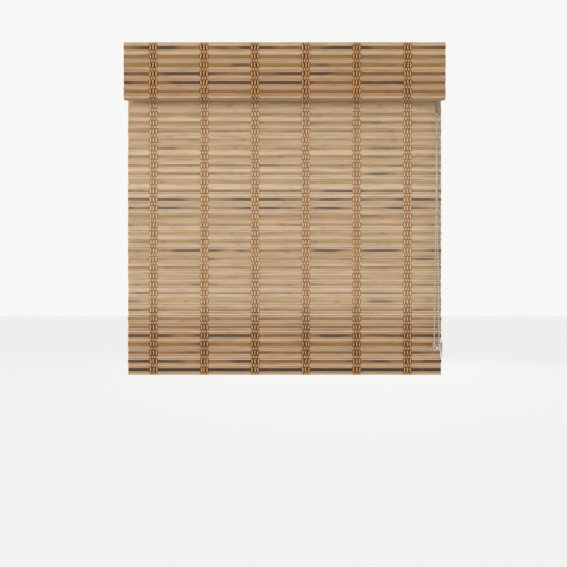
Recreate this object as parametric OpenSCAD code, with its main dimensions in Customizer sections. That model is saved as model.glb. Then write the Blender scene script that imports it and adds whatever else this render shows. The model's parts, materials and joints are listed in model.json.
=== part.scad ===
// Woven wood shade with a wrapped valance, a headrail and a bead chain drive.
// Millimetres. X runs along the shade to the right, the room is at -Y, Z is up.
// The origin is the middle of the bracket screw pattern, on the mounting plane.

/* [Shade] */
// Width of the woven panel and of the valance
shade_w = 900; // [880:5:940]
// Height from the mounting plane to the lower edge of the panel
shade_h = 939; // [939:24.5:1012.5]
// Vertical distance from one reed to the next
row_pitch = 24.5; // [23.5:0.25:25.5]
// Height of one brown reed
reed_h = 9.2; // [7:0.1:11]
// Height of the pale slat below the lowest reed
edge_slat = 15; // [13:0.5:16]
// Height of the flap behind the bottom bar
flap_h = 42; // [38:1:46]
// Thickness of the pale slats
slat_t = 1.6; // [1.4:0.1:1.8]
// How far a reed stands in front of the slats
reed_front = 1.2; // [0.8:0.1:1.4]
// How far a reed stands behind the slats
reed_back = 0.8; // [0.5:0.1:1]
// Height of the groove between two pale slats
groove_h = 1.6; // [1.2:0.1:2]
// Depth of the groove between two pale slats
groove_d = 0.6; // [0.3:0.1:0.8]
// Height of the light gaps
gap_h = 1; // [0.6:0.1:1.1]
// Number of rows that have light gaps
gap_rows = 17; // [8:1:17]

/* [Warp bands] */
// Number of warp bands across the shade
band_count = 6; // [4:1:6]
// Distance between the bands of the panel
panel_band_pitch = 146; // [136:1:150]
// Distance between the bands of the valance
valance_band_pitch = 142.4; // [136:0.2:150]
// Shift of the bands from the middle of the shade
band_shift = -12; // [-16:1:16]
// Distance between the yarns of one band
yarn_pitch = 7.2; // [6:0.2:8]
// Width of one yarn
yarn_w = 4.2; // [3:0.1:5]
// How far a yarn stands in front of a reed
yarn_t = 1; // [0.6:0.1:1.4]

/* [Valance] */
// Height from the mounting plane to the lower edge of the valance
valance_h = 160.4; // [152.4:0.4:168]
// Distance from the headrail to the back of the fascia
fascia_gap = 9.6; // [8:0.1:12]
// Thickness of the fascia
fascia_t = 1.8; // [1.4:0.1:2.2]
// Outer radius of the lower edge of the valance
valance_r = 8; // [7:0.5:9]
// Height of the first reed below the top of the valance
valance_first = 14.8; // [12:0.2:16]
// Width of one valance clip
clip_w = 26; // [20:1:40]
// Distance from a bracket to the clip beside it
clip_gap = 5; // [3:0.5:8]

/* [Headrail] */
// Depth of the headrail
rail_d = 40; // [40:0.5:42]
// Height of the headrail
rail_h = 42; // [42:0.5:44]
// Wall of the headrail
rail_t = 1.6; // [1.4:0.1:1.8]
// Width of the lips that turn in at the top of the headrail
rail_lip = 5; // [4:0.25:5.5]
// Distance from the mounting plane to the top of the headrail
rail_drop = 2; // [1.9:0.1:2.4]
// Distance from the edge of the shade to the left end of the headrail
rail_inset = 4; // [3:0.5:6]
// Distance from the right end of the headrail to the chain
clutch_l = 18.5; // [17:0.5:20]
// Length of the plugs that fit into the ends of the headrail
plug_l = 12; // [8:0.5:14]
// Height of the head of the panel on the rear wall of the headrail
head_h = 17; // [15:0.5:20]
// Height of the clamp screws above the lower edge of the headrail
clamp_rise = 9; // [7.5:0.5:11]
// Radius of the clamp screws
clamp_r = 1.75; // [1.5:0.05:2]

/* [Mounting] */
// Distance from the edge of the shade to the screws of a bracket
bracket_inset = 100; // [90:5:130]
// Distance between the two screws of one bracket
screw_span = 12; // [10:0.5:13]
// Radius of the bracket screw holes
screw_r = 2.2; // [1.8:0.1:2.5]
// Width of one bracket
bracket_w = 34; // [28:1:44]
// Thickness of the bracket steel
bracket_t = 1.6; // [1.2:0.1:1.7]

/* [Lift] */
// Distance from the edge of the shade to the outer lift cords
cord_inset = 140; // [130:5:170]
// Radius of a lift cord
cord_r = 0.7; // [0.5:0.05:0.8]
// Radius of the drum of a spool
drum_r = 10; // [9.5:0.1:10.2]
// Length of the drum of a spool
drum_l = 38; // [30:1:44]
// Length of a cradle beyond each end of the drum
cradle_side = 4.5; // [4.5:0.1:6]
// Outer radius of the bushing that leads a cord out of the headrail
bushing_r = 4; // [3.6:0.1:4.4]
// Radius of the bore of the bushing
bushing_bore = 1.6; // [1.2:0.1:2]
// Radius of the drive shaft
shaft_r = 3; // [2.6:0.1:3.2]
// Ring radius from the middle to the outside
ring_r = 6.35; // [5.8:0.05:6.35]
// Radius of the wire of a ring
ring_wire = 1; // [0.7:0.05:1.2]
// Number of reeds from one row of rings to the next
ring_step = 8; // [7:1:8]
// Thickness of the bottom bar
bar_t = 4.6; // [4:0.1:4.8]
// Height of the bottom bar
bar_h = 28; // [22:0.5:30]

/* [Chain] */
// Distance from the edge of the shade to the chain
chain_inset = 17.5; // [16.5:0.5:20]
// Radius of one bead of the chain
bead_r = 2.25; // [2:0.05:2.3]
// Distance from one bead to the next
bead_pitch = 6; // [5.8:0.1:6.2]
// Number of bead pockets on the sprocket
pockets = 16; // [15:1:16]
// Distance from the mounting plane down to the tensioner pulley
pulley_drop = 859; // [700:1:880]
// Radius of the tensioner pulley at the middle of the beads
pulley_r = 7; // [6.6:0.1:7.2]
// Distance from the lower edge of the valance to the chain connector
connector_gap = 2; // [1:0.5:60]
// Length of the chain connector
connector_l = 30; // [24:1:36]
// Height of the foot of the tensioner
foot_h = 48; // [46:1:60]
// Distance between the screws of the foot
foot_span = 34; // [32:0.5:36]
// Depth of the tensioner housing
tensioner_d = 12; // [10:0.5:14]

/* [Hidden] */
$fn = 48;

// Fits and radii that pieces share
plug_gap = 0.15;
plug_wall = 1.6;
shaft_gap = 0.1;
journal_gap = 0.08;
journal_r = 5;
hub_r = 7;
flange_h = 3;
axle_r = 1.48;
foot_t = 2.4;
foot_screw_r = 2;

// Headrail and shaft
rail_top = -rail_drop;
rail_bot = rail_top - rail_h;
rail_y = rail_d / 2;
shaft_z = rail_top - rail_h / 2;
chain_x = shade_w / 2 - chain_inset;
rail_left = -shade_w / 2 + rail_inset;
rail_right = chain_x - clutch_l;
lip_y = rail_y - rail_t - rail_lip;
bracket_x = shade_w / 2 - bracket_inset;
clip_x = bracket_x + bracket_w / 2 + clip_gap + clip_w / 2;
cord_span = shade_w / 2 - cord_inset;
lift_x = [-cord_span, 0, cord_span];
cord_z = shaft_z + drum_r + 0.3 + cord_r;

// Panel mat: the reeds touch the rear wall of the headrail
mat_t = reed_front + slat_t + reed_back;
reed_y = rail_y;
slat_y = reed_y + reed_front;
back_y = reed_y + mat_t;
panel_bot = -shade_h;
reed_first = panel_bot + edge_slat;
panel_top = rail_bot + head_h;
rows = floor((panel_top - 1 - reed_h / 2 - reed_first) / row_pitch) + 1;
clamp_z = rail_bot + clamp_rise;
gap_side = 14;

// Hem with the bottom bar
hem_gap = 5.6;
hem_r = (slat_t + reed_back + hem_gap + slat_t) / 2;
hem_y = slat_y + hem_r;
hem_z = panel_bot + hem_r;
flap_top = panel_bot + flap_h;
bar_y = back_y + (hem_gap - bar_t) / 2;
bar_z = hem_z - sqrt(pow(hem_r - slat_t, 2) - pow(bar_y + bar_t - hem_y, 2)) + 0.4;
bar_half = shade_w / 2 - 5;
cord_y = back_y + ring_r + 0.05;
pocket_y = back_y + hem_gap / 2;

// Valance
fascia_back = -rail_y - fascia_gap;
fascia_front = fascia_back - fascia_t;
vmat_back = fascia_front;
vslat_back = vmat_back - reed_back;
vslat_front = vslat_back - slat_t;
vreed_front = vslat_front - reed_front;
valance_top = -1;
valance_bot = -valance_h;
lip_end = -rail_y + 1.5;
corner_y = vslat_front + valance_r;
corner_z = valance_bot + valance_r;
liner_r = valance_r - slat_t - reed_back;
valance_rows = floor((valance_top - valance_first - reed_h / 2 - corner_z) / row_pitch) + 1;

// Chain loop: the sprocket turns about X, the pulley about Y
sprocket_r = pockets * bead_pitch / (2 * PI);
pulley_z = -pulley_drop;
strand_top = shaft_z;
strand_len = norm([pulley_r, sprocket_r, strand_top - pulley_z]);
strand_n = floor(strand_len / bead_pitch);
strand_step = strand_len / strand_n;
rim_h = 0.9;
pocket_gap = 0.35;
chamber_r = sprocket_r + bead_r + 0.5;
chamber_0 = chain_x - 4;
chamber_1 = chain_x + 4;

// Maps a profile drawn as (y, z) to the room and stretches it along X
module along_x(x0, x1) {
    translate([x0, 0, 0])
        rotate([90, 0, 90])
            linear_extrude(x1 - x0)
                children();
}

// Cylinder along X
module rod_x(x0, x1, y, z, r) {
    translate([x0, y, z])
        rotate([0, 90, 0])
            cylinder(h = x1 - x0, r = r);
}

// Cylinder along Y
module rod_y(x, y0, y1, z, r) {
    translate([x, y1, z])
        rotate([90, 0, 0])
            cylinder(h = y1 - y0, r = r);
}

module box(x0, x1, y0, y1, z0, z1) {
    translate([x0, y0, z0])
        cube([x1 - x0, y1 - y0, z1 - z0]);
}

function arc(cy, cz, r, a0, a1, n) =
    [for (i = [0 : n]) let (a = a0 + (a1 - a0) * i / n) [cy + r * cos(a), cz + r * sin(a)]];

function bands(pitch) =
    [for (i = [0 : band_count - 1]) let (x = band_shift + (i - (band_count - 1) / 2) * pitch)
        if (abs(x) < shade_w / 2 - 2 * yarn_pitch - yarn_w) x];

function reed_z(i) = reed_first + i * row_pitch;

// One reed with the yarns that cross in front of it
module reed(z, front, back, xs) {
    half = shade_w / 2;
    yarns = [for (i = [len(xs) - 1 : -1 : 0]) for (k = [1, 0, -1])
        for (p = [[yarn_w / 2, 0], [0, -yarn_t], [-yarn_w / 2, 0]])
            [xs[i] + k * yarn_pitch + p[0], front + p[1]]];
    translate([0, 0, z - reed_h / 2])
        linear_extrude(reed_h)
            polygon(concat([[-half, front], [-half, back], [half, back], [half, front]], yarns));
}

module headrail() {
    color("white")
        difference() {
            along_x(rail_left, rail_right)
                polygon([[-rail_y, rail_bot], [rail_y, rail_bot], [rail_y, rail_top],
                    [lip_y, rail_top], [lip_y, rail_top - rail_t],
                    [rail_y - rail_t, rail_top - rail_t], [rail_y - rail_t, rail_bot + rail_t],
                    [-rail_y + rail_t, rail_bot + rail_t], [-rail_y + rail_t, rail_top - rail_t],
                    [-lip_y, rail_top - rail_t], [-lip_y, rail_top], [-rail_y, rail_top]]);
            for (x = lift_x)
                rod_y(x, rail_y - rail_t - 4, rail_y + 1, cord_z, bushing_r + 0.1);
            for (x = screw_x())
                rod_y(x, rail_y - rail_t - 4, rail_y + 1, clamp_z, clamp_r + 0.05);
        }
}

module end_cap() {
    y = rail_y - rail_t - plug_gap;
    z0 = rail_bot + rail_t + plug_gap;
    z1 = rail_top - rail_t - plug_gap;
    color("white")
        difference() {
            union() {
                box(rail_left - 2.5, rail_left, -rail_y, rail_y, rail_bot, rail_top);
                difference() {
                    box(rail_left - 1, rail_left + plug_l, -y, y, z0, z1);
                    box(rail_left, rail_left + plug_l + 1, -y + plug_wall, y - plug_wall,
                        z0 + plug_wall, z1 - plug_wall);
                }
                rod_x(rail_left - 1, rail_left + plug_l, 0, shaft_z, shaft_r + 3);
            }
            rod_x(rail_left - 1.2, rail_left + plug_l + 1, 0, shaft_z, shaft_r + shaft_gap);
        }
}

// Snap bracket that grips the lips of the headrail from inside
module bracket(x) {
    leg = lip_y - 0.4;
    foot = leg + 2.8;
    z1 = rail_top - rail_t - 0.3;
    color("silver")
        difference() {
            along_x(x - bracket_w / 2, x + bracket_w / 2)
                polygon([[-rail_y + 2, 0], [-rail_y + 2, -bracket_t], [-leg, -bracket_t], [-leg, z1],
                    [-foot, z1], [-foot, z1 - bracket_t], [-leg + bracket_t, z1 - bracket_t],
                    [-leg + bracket_t, -bracket_t], [leg - bracket_t, -bracket_t],
                    [leg - bracket_t, z1 - bracket_t], [foot, z1 - bracket_t], [foot, z1],
                    [leg, z1], [leg, -bracket_t], [rail_y - 2, -bracket_t], [rail_y - 2, 0]]);
            for (y = [-screw_span / 2, screw_span / 2])
                translate([x, y, -bracket_t - 1])
                    cylinder(h = bracket_t + 2, r = screw_r);
        }
}

module bracket_left() {
    bracket(-bracket_x);
}

module bracket_right() {
    bracket(bracket_x);
}

// Bent strip that carries the valance mat
module valance_fascia() {
    color("white")
        along_x(-shade_w / 2 + 1, shade_w / 2 - 1)
            polygon(concat([[fascia_front, valance_top - 1.2]],
                arc(corner_y, corner_z, liner_r, 180, 270, 8),
                [[lip_end - 1, corner_z - liner_r], [lip_end - 1, corner_z - liner_r + fascia_t]],
                arc(corner_y, corner_z, liner_r - fascia_t, 270, 180, 8),
                [[fascia_back, valance_top - 1.2]]));
}

module valance_mat() {
    xs = bands(valance_band_pitch);
    mid = [for (i = [0 : valance_rows - 2]) valance_top - valance_first - (i + 0.5) * row_pitch];
    grooves = [for (z = mid)
        for (p = [[0, groove_h], [groove_d, groove_h], [groove_d, -groove_h], [0, -groove_h]])
            [vslat_front + p[0], z + p[1] / 2]];
    color("burlywood")
        union() {
            along_x(-shade_w / 2, shade_w / 2)
                polygon(concat([[vslat_front, valance_top]], grooves,
                    arc(corner_y, corner_z, valance_r, 180, 270, 8),
                    [[lip_end, valance_bot], [lip_end, corner_z - liner_r]],
                    arc(corner_y, corner_z, liner_r, 270, 180, 8),
                    [[vslat_back, corner_z + 1], [vslat_back, valance_top]]));
            for (i = [0 : valance_rows - 1])
                reed(valance_top - valance_first - i * row_pitch, vreed_front, vmat_back, xs);
        }
}

// Clips that hook over the front lip of the headrail
module valance_clips() {
    top = rail_top + 1.2;
    color("ivory")
        for (x = [-clip_x, 0, clip_x])
            along_x(x - clip_w / 2, x + clip_w / 2)
                polygon([[fascia_back, rail_bot + 3], [-rail_y, rail_bot + 3], [-rail_y, rail_top],
                    [-lip_y + 0.3, rail_top], [-lip_y + 0.3, rail_top - 3.4],
                    [-lip_y + 1.7, rail_top - 3.4], [-lip_y + 1.7, top], [-rail_y - 4, top],
                    [fascia_back, rail_top - 6]]);
}

// Clamp screws sit midway between the cords, and between the outer cradle and the clutch
function screw_x() =
    let (inner = cord_span / 2, outer = (cord_span + drum_l / 2 + cradle_side + rail_right - plug_l) / 2)
    [-outer, -inner, inner, outer];

module shade_panel() {
    xs = bands(panel_band_pitch);
    edge = shade_w / 2 - 6;
    stops = concat([-edge - gap_side], xs, [edge + gap_side]);
    mid = [for (i = [rows - 2 : -1 : 0]) reed_z(i) + row_pitch / 2];
    grooves = [for (z = mid)
        for (p = [[0, groove_h], [groove_d, groove_h], [groove_d, -groove_h], [0, -groove_h]])
            [slat_y + p[0], z + p[1] / 2]];
    rear = slat_y + 2 * hem_r;
    color("burlywood")
        difference() {
            union() {
                along_x(-shade_w / 2, shade_w / 2)
                    polygon(concat([[slat_y, panel_top]], grooves,
                        arc(hem_y, hem_z, hem_r, 180, 360, 12),
                        [[rear, flap_top], [rear - slat_t, flap_top]],
                        arc(hem_y, hem_z, hem_r - slat_t, 360, 180, 12),
                        [[slat_y + slat_t, panel_top]]));
                for (i = [0 : rows - 1])
                    reed(reed_z(i), reed_y, back_y, reed_z(i) + reed_h / 2 < rail_bot - 1 ? xs : []);
            }
            for (i = [0 : gap_rows - 1])
                for (k = [0 : len(stops) - 2])
                    box(stops[k] + gap_side, stops[k + 1] - gap_side, slat_y - 1, slat_y + slat_t + 1,
                        reed_z(2 * i + 2) + row_pitch / 2 - gap_h / 2,
                        reed_z(2 * i + 2) + row_pitch / 2 + gap_h / 2);
            for (x = screw_x())
                rod_y(x, reed_y - 1, back_y + 1, clamp_z, clamp_r + 0.15);
        }
}

// Strip that clamps the head of the panel to the headrail
module clamp_strip() {
    color("silver")
        difference() {
            box(-shade_w / 2 + 6, rail_right - 2, back_y, back_y + 2, rail_bot + 2, panel_top - 1);
            for (x = screw_x())
                rod_y(x, back_y - 1, back_y + 3, clamp_z, clamp_r + 0.15);
        }
}

module clamp_screws() {
    color("gray")
        for (x = screw_x())
            union() {
                rod_y(x, rail_y - rail_t - 3, back_y + 2.5, clamp_z, clamp_r);
                rod_y(x, back_y + 2, back_y + 3.6, clamp_z, clamp_r + 1.45);
            }
}

module bottom_bar() {
    color("silver")
        difference() {
            box(-bar_half, bar_half, bar_y, bar_y + bar_t, bar_z, bar_z + bar_h);
            box(-bar_half - 1, bar_half + 1, bar_y + 1, bar_y + bar_t - 1, bar_z + 1, bar_z + bar_h - 1);
        }
}

module bar_cap(side) {
    color("white")
        mirror([side < 0 ? 1 : 0, 0, 0])
            union() {
                box(bar_half, bar_half + 2, bar_y, bar_y + bar_t, bar_z, bar_z + bar_h);
                box(bar_half - 10, bar_half + 1, bar_y + 1.1, bar_y + bar_t - 1.1,
                    bar_z + 1.1, bar_z + bar_h - 1.1);
            }
}

module bar_cap_left() {
    bar_cap(-1);
}

module bar_cap_right() {
    bar_cap(1);
}

// Eyelets on the bar that take the lower ends of the lift cords
module bar_eyelets() {
    color("silver")
        for (x = lift_x)
            translate([x, pocket_y, bar_z + bar_h])
                difference() {
                    cylinder(h = 6, r = 2.2);
                    translate([0, 0, 0.5])
                        cylinder(h = 6, r = cord_r + 0.15);
                }
}

// Round cord swept along a route in one Y-Z plane
function bisector(pts, i) =
    let (n = len(pts) - 1, a = pts[max(i - 1, 0)], b = pts[min(i + 1, n)], d = (b - a) / norm(b - a))
    [-d[1], d[0]];

module lift_cord(x) {
    sides = 8;
    route = [[0, cord_z], [cord_y - 5, cord_z], [cord_y - 3, cord_z - 0.4], [cord_y - 1.4, cord_z - 1.4],
        [cord_y - 0.4, cord_z - 3], [cord_y, cord_z - 5], [cord_y, flap_top + 14],
        [cord_y - 0.5, flap_top + 10], [pocket_y + 0.5, flap_top + 4], [pocket_y, flap_top],
        [pocket_y, bar_z + bar_h + 0.8]];
    n = len(route);
    points = [for (i = [0 : n - 1]) let (v = bisector(route, i))
        for (k = [0 : sides - 1]) let (a = 360 * k / sides)
            [x + cord_r * cos(a), route[i][0] + cord_r * sin(a) * v[0],
                route[i][1] + cord_r * sin(a) * v[1]]];
    walls = [for (i = [0 : n - 2]) for (k = [0 : sides - 1])
        let (a = i * sides + k, b = i * sides + (k + 1) % sides)
            [a, b, b + sides, a + sides]];
    ends = [[for (k = [sides - 1 : -1 : 0]) k], [for (k = [0 : sides - 1]) (n - 1) * sides + k]];
    color("white")
        polyhedron(points = points, faces = concat(walls, ends));
}

module lift_cord_left() {
    lift_cord(lift_x[0]);
}

module lift_cord_centre() {
    lift_cord(lift_x[1]);
}

module lift_cord_right() {
    lift_cord(lift_x[2]);
}

// Bushings that lead the cords through the rear wall of the headrail
module cord_bushings() {
    color("white")
        for (x = lift_x)
            translate([x, rail_y, cord_z])
                rotate([-90, 0, 0])
                    rotate_extrude()
                        polygon([[bushing_bore, -rail_t - 0.6], [bushing_r, -rail_t - 0.6], [bushing_r, 0],
                            [bushing_r + 2, 0], [bushing_r + 2, 1], [bushing_r + 1.2, 1.6],
                            [bushing_bore + 0.8, 1.6], [bushing_bore, 0.8]]);
}

module ring_row(i) {
    color("white")
        for (x = lift_x)
            translate([x, cord_y, reed_z(i)])
                rotate_extrude()
                    translate([ring_r - ring_wire, 0])
                        circle(r = ring_wire);
}

module ring_row_upper() {
    ring_row(3 * ring_step);
}

module ring_row_middle() {
    ring_row(2 * ring_step);
}

module ring_row_lower() {
    ring_row(ring_step);
}

// Round shaft with one flat
module d_profile(r) {
    difference() {
        circle(r = r);
        translate([-r, shaft_r * 0.7 + r - shaft_r])
            square([2 * r, r]);
    }
}

module d_rod(x0, x1, r) {
    translate([0, 0, shaft_z])
        along_x(x0, x1)
            d_profile(r);
}

module drive_shaft() {
    color("silver")
        d_rod(rail_left, chamber_1, shaft_r);
}

module spool(x) {
    h = drum_l / 2;
    flange_r = drum_r + flange_h;
    color("white")
        difference() {
            translate([x, 0, shaft_z])
                rotate([0, 90, 0])
                    rotate_extrude()
                        polygon([[0, -h - 5], [journal_r, -h - 5], [journal_r, -h - 1.5],
                            [flange_r, -h - 1.5], [flange_r, -h], [drum_r, -h + 1], [drum_r, h - 1],
                            [flange_r, h], [flange_r, h + 1.5], [journal_r, h + 1.5],
                            [journal_r, h + 5], [0, h + 5]]);
            d_rod(x - h - 6, x + h + 6, shaft_r + shaft_gap);
        }
}

module spool_left() {
    spool(lift_x[0]);
}

module spool_centre() {
    spool(lift_x[1]);
}

module spool_right() {
    spool(lift_x[2]);
}

// Cradle on the floor of the headrail that carries the journals of a spool
module cradle(x) {
    h = drum_l / 2;
    y = rail_y - rail_t - 0.2;
    floor_z = rail_bot + rail_t;
    color("ivory")
        difference() {
            union() {
                box(x - h - cradle_side, x + h + cradle_side, -y, y, floor_z, floor_z + 2);
                for (s = [-1, 1])
                    box(x + s * (h + cradle_side - 1.25) - 1.25,
                        x + s * (h + cradle_side - 1.25) + 1.25, -y, y, floor_z + 1, shaft_z + 9);
            }
            rod_x(x - h - 6, x + h + 6, 0, shaft_z, journal_r + journal_gap);
            box(x - h - 6, x + h + 6, -3.5, 3.5, shaft_z + 4, shaft_z + 10);
        }
}

module cradle_left() {
    cradle(lift_x[0]);
}

module cradle_centre() {
    cradle(lift_x[1]);
}

module cradle_right() {
    cradle(lift_x[2]);
}

// Clutch housing that plugs into the headrail and has the chamber of the sprocket
module clutch_body() {
    y = rail_y - rail_t - plug_gap;
    z0 = rail_bot + rail_t + plug_gap;
    z1 = rail_top - rail_t - plug_gap;
    color("white")
        difference() {
            union() {
                box(rail_right, chamber_1, -rail_y, rail_y, rail_bot, rail_top);
                box(rail_right - plug_l, rail_right + 1, -y, y, z0, z1);
            }
            box(rail_right - plug_l - 1, rail_right, -y + plug_wall, y - plug_wall,
                z0 + plug_wall, z1 - plug_wall);
            rod_x(rail_right - 1, chamber_0 + 1, 0, shaft_z, hub_r + journal_gap);
            rod_x(rail_right + 1.6, chamber_0 + 1, 0, shaft_z, 10);
            rod_x(chamber_0, chamber_1 + 1, 0, shaft_z, chamber_r);
            box(chamber_0, chamber_1 + 1, -chamber_r, chamber_r, rail_bot - 1, shaft_z);
            for (y = clutch_screw_y())
                rod_x(chamber_0 - 4, chamber_1 + 1, y, rail_top - 3.2, 1.25);
        }
}

function clutch_screw_y() = [-rail_y + 3.2, rail_y - 3.2];

module clutch_cover() {
    color("white")
        difference() {
            box(chamber_1, chamber_1 + 3, -rail_y, rail_y, rail_bot, rail_top);
            rod_x(chamber_1 - 1, chamber_1 + 2, 0, shaft_z, journal_r + journal_gap);
            for (y = clutch_screw_y())
                rod_x(chamber_1 - 1, chamber_1 + 4, y, rail_top - 3.2, 1.3);
        }
}

// Closed coils of the wrap spring that brakes the hub
module clutch_spring() {
    coils = 7;
    color("gray")
        translate([rail_right + 2, 0, shaft_z])
            rotate([0, 90, 0])
                rotate_extrude()
                    polygon(concat([for (i = [0 : coils - 1]) for (p = [[9.1, 0.05], [9.5, 0.4], [9.5, 1.2],
                        [9.1, 1.55]]) [p[0], p[1] + 1.6 * i]],
                        [[7.5, 1.6 * coils - 0.05], [7.5, 0.05]]));
}

module clutch_screws() {
    color("gray")
        for (y = clutch_screw_y())
            union() {
                rod_x(chamber_0 - 3, chamber_1 + 3.5, y, rail_top - 3.2, 1.2);
                rod_x(chamber_1 + 3, chamber_1 + 4.4, y, rail_top - 3.2, 2.2);
            }
}

// Bead wheel with pockets, its hub in the clutch and its journal in the cover
module drive_sprocket() {
    color("ivory")
        difference() {
            translate([0, 0, shaft_z])
                rotate([0, 90, 0])
                    rotate_extrude()
                        polygon([[0, rail_right + 0.4], [hub_r, rail_right + 0.4], [hub_r, chamber_0 + 0.5],
                            [sprocket_r + rim_h, chamber_0 + 0.5], [sprocket_r + rim_h, chain_x - 1.2],
                            [sprocket_r - 1, chain_x - 1.2], [sprocket_r - 1, chain_x + 1.2],
                            [sprocket_r + rim_h, chain_x + 1.2], [sprocket_r + rim_h, chamber_1 - 0.5],
                            [journal_r, chamber_1 - 0.5], [journal_r, chamber_1 + 1.7],
                            [0, chamber_1 + 1.7]]);
            for (i = [0 : pockets - 1])
                translate([chain_x, sprocket_r * cos(i * 360 / pockets),
                    shaft_z + sprocket_r * sin(i * 360 / pockets)])
                    sphere(r = bead_r + pocket_gap);
            d_rod(rail_right - 1, chamber_1 + 0.2, shaft_r + shaft_gap);
        }
}

// One straight run of the chain from the sprocket to the pulley
module strand(side) {
    run = [side * pulley_r, -side * sprocket_r, pulley_z - strand_top];
    tilt = acos(-run[2] / norm(run));
    turn = atan2(run[1], run[0]);
    translate([chain_x, side * sprocket_r, strand_top])
        rotate([0, 0, turn])
            rotate([0, 180 - tilt, 0])
                rotate_extrude()
                    intersection() {
                        union() {
                            for (i = [0 : strand_n])
                                translate([0, i * strand_step])
                                    circle(r = bead_r);
                            translate([-1, 0])
                                square([1.5, strand_len]);
                        }
                        translate([0, -5])
                            square([5, strand_len + 10]);
                    }
}

module bead_chain() {
    over = pockets / 2;
    under = round(PI * pulley_r / bead_pitch);
    color("silver")
        union() {
            for (side = [-1, 1])
                strand(side);
            translate([chain_x, 0, shaft_z])
                rotate([0, -90, 0])
                    rotate([0, 0, -90])
                        rotate_extrude(angle = 180)
                            translate([sprocket_r, 0])
                                circle(r = 0.5);
            for (i = [1 : over - 1])
                translate([chain_x, sprocket_r * cos(180 * i / over),
                    shaft_z + sprocket_r * sin(180 * i / over)])
                    sphere(r = bead_r);
            translate([chain_x, 0, pulley_z])
                rotate([90, 0, 0])
                    rotate([0, 0, 180])
                        rotate_extrude(angle = 180)
                            translate([pulley_r, 0])
                                circle(r = 0.5);
            for (i = [1 : under - 1])
                translate([chain_x + pulley_r * cos(180 * i / under), 0,
                    pulley_z - pulley_r * sin(180 * i / under)])
                    sphere(r = bead_r);
        }
}

// Sleeve that joins the two ends of the chain
module chain_connector() {
    h = connector_l;
    z = valance_bot - connector_gap - h / 2;
    f = (strand_top - z) / (strand_top - pulley_z);
    r = bead_r + 0.5;
    color("dimgray")
        translate([chain_x - pulley_r * f, -sprocket_r * (1 - f), z - h / 2])
            rotate_extrude()
                polygon([[r, 0], [r + 1.45, 0], [r + 2.25, 2], [r + 2.25, h / 2 - 4], [r + 1.65, h / 2 - 2],
                    [r + 1.65, h / 2 + 2], [r + 2.25, h / 2 + 4], [r + 2.25, h - 2], [r + 1.45, h], [r, h]]);
}

// Clear housing of the pulley with a foot that is screwed to the side of the opening
module tensioner_body() {
    inner = pulley_r + bead_r + 0.4;
    outer = inner + 1.3;
    depth = tensioner_d / 2;
    foot_x = chain_x + outer + 1;
    color("lightblue")
        difference() {
            union() {
                rod_y(chain_x, -depth, depth, pulley_z, outer);
                box(chain_x - outer, chain_x + outer, -depth, depth, pulley_z, pulley_z + 15);
                box(chain_x, foot_x + foot_t, -depth, depth, pulley_z - 9, pulley_z + 9);
                box(foot_x, foot_x + foot_t, -depth - 2, depth + 2,
                    pulley_z - foot_h / 2, pulley_z + foot_h / 2);
            }
            rod_y(chain_x, -bead_r - 0.8, bead_r + 0.8, pulley_z, inner);
            box(chain_x - inner, chain_x + inner, -bead_r - 0.8, bead_r + 0.8, pulley_z, pulley_z + 16);
            rod_y(chain_x, -depth - 1, depth + 1, pulley_z, axle_r + 0.02);
            for (s = [-1, 1])
                rod_x(foot_x - 1, foot_x + foot_t + 1, 0, pulley_z + s * foot_span / 2, foot_screw_r);
        }
}

module tensioner_pulley() {
    color("lightblue")
        translate([chain_x, 0, pulley_z])
            rotate([90, 0, 0])
                rotate_extrude()
                    difference() {
                        translate([axle_r + journal_gap, -bead_r - 0.5])
                            square([pulley_r - 0.6, 2 * bead_r + 1]);
                        translate([pulley_r, 0])
                            circle(r = bead_r + 0.2);
                    }
}

module tensioner_axle() {
    color("silver")
        union() {
            rod_y(chain_x, -tensioner_d / 2, tensioner_d / 2, pulley_z, axle_r);
            rod_y(chain_x, -tensioner_d / 2 - 1, -tensioner_d / 2, pulley_z, axle_r + 1.12);
        }
}

headrail();
end_cap();
bracket_left();
bracket_right();
valance_fascia();
valance_mat();
valance_clips();
shade_panel();
clamp_strip();
clamp_screws();
bottom_bar();
bar_cap_left();
bar_cap_right();
bar_eyelets();
lift_cord_left();
lift_cord_centre();
lift_cord_right();
cord_bushings();
ring_row_upper();
ring_row_middle();
ring_row_lower();
drive_shaft();
spool_left();
spool_centre();
spool_right();
cradle_left();
cradle_centre();
cradle_right();
clutch_body();
clutch_cover();
clutch_spring();
clutch_screws();
drive_sprocket();
bead_chain();
chain_connector();
tensioner_body();
tensioner_pulley();
tensioner_axle();
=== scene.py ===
# %% [markdown]
# # Woven wood shade
# A woven wood shade is a mat of pale slats and brown reeds, held together by bands of warp yarn. A
# short valance of the same mat hides the headrail, where a bead chain turns a shaft with spools.
# The solids of all these pieces are packed already. The lesson loads them first, because a piece
# that is made here has to sit where its solid is.

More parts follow.
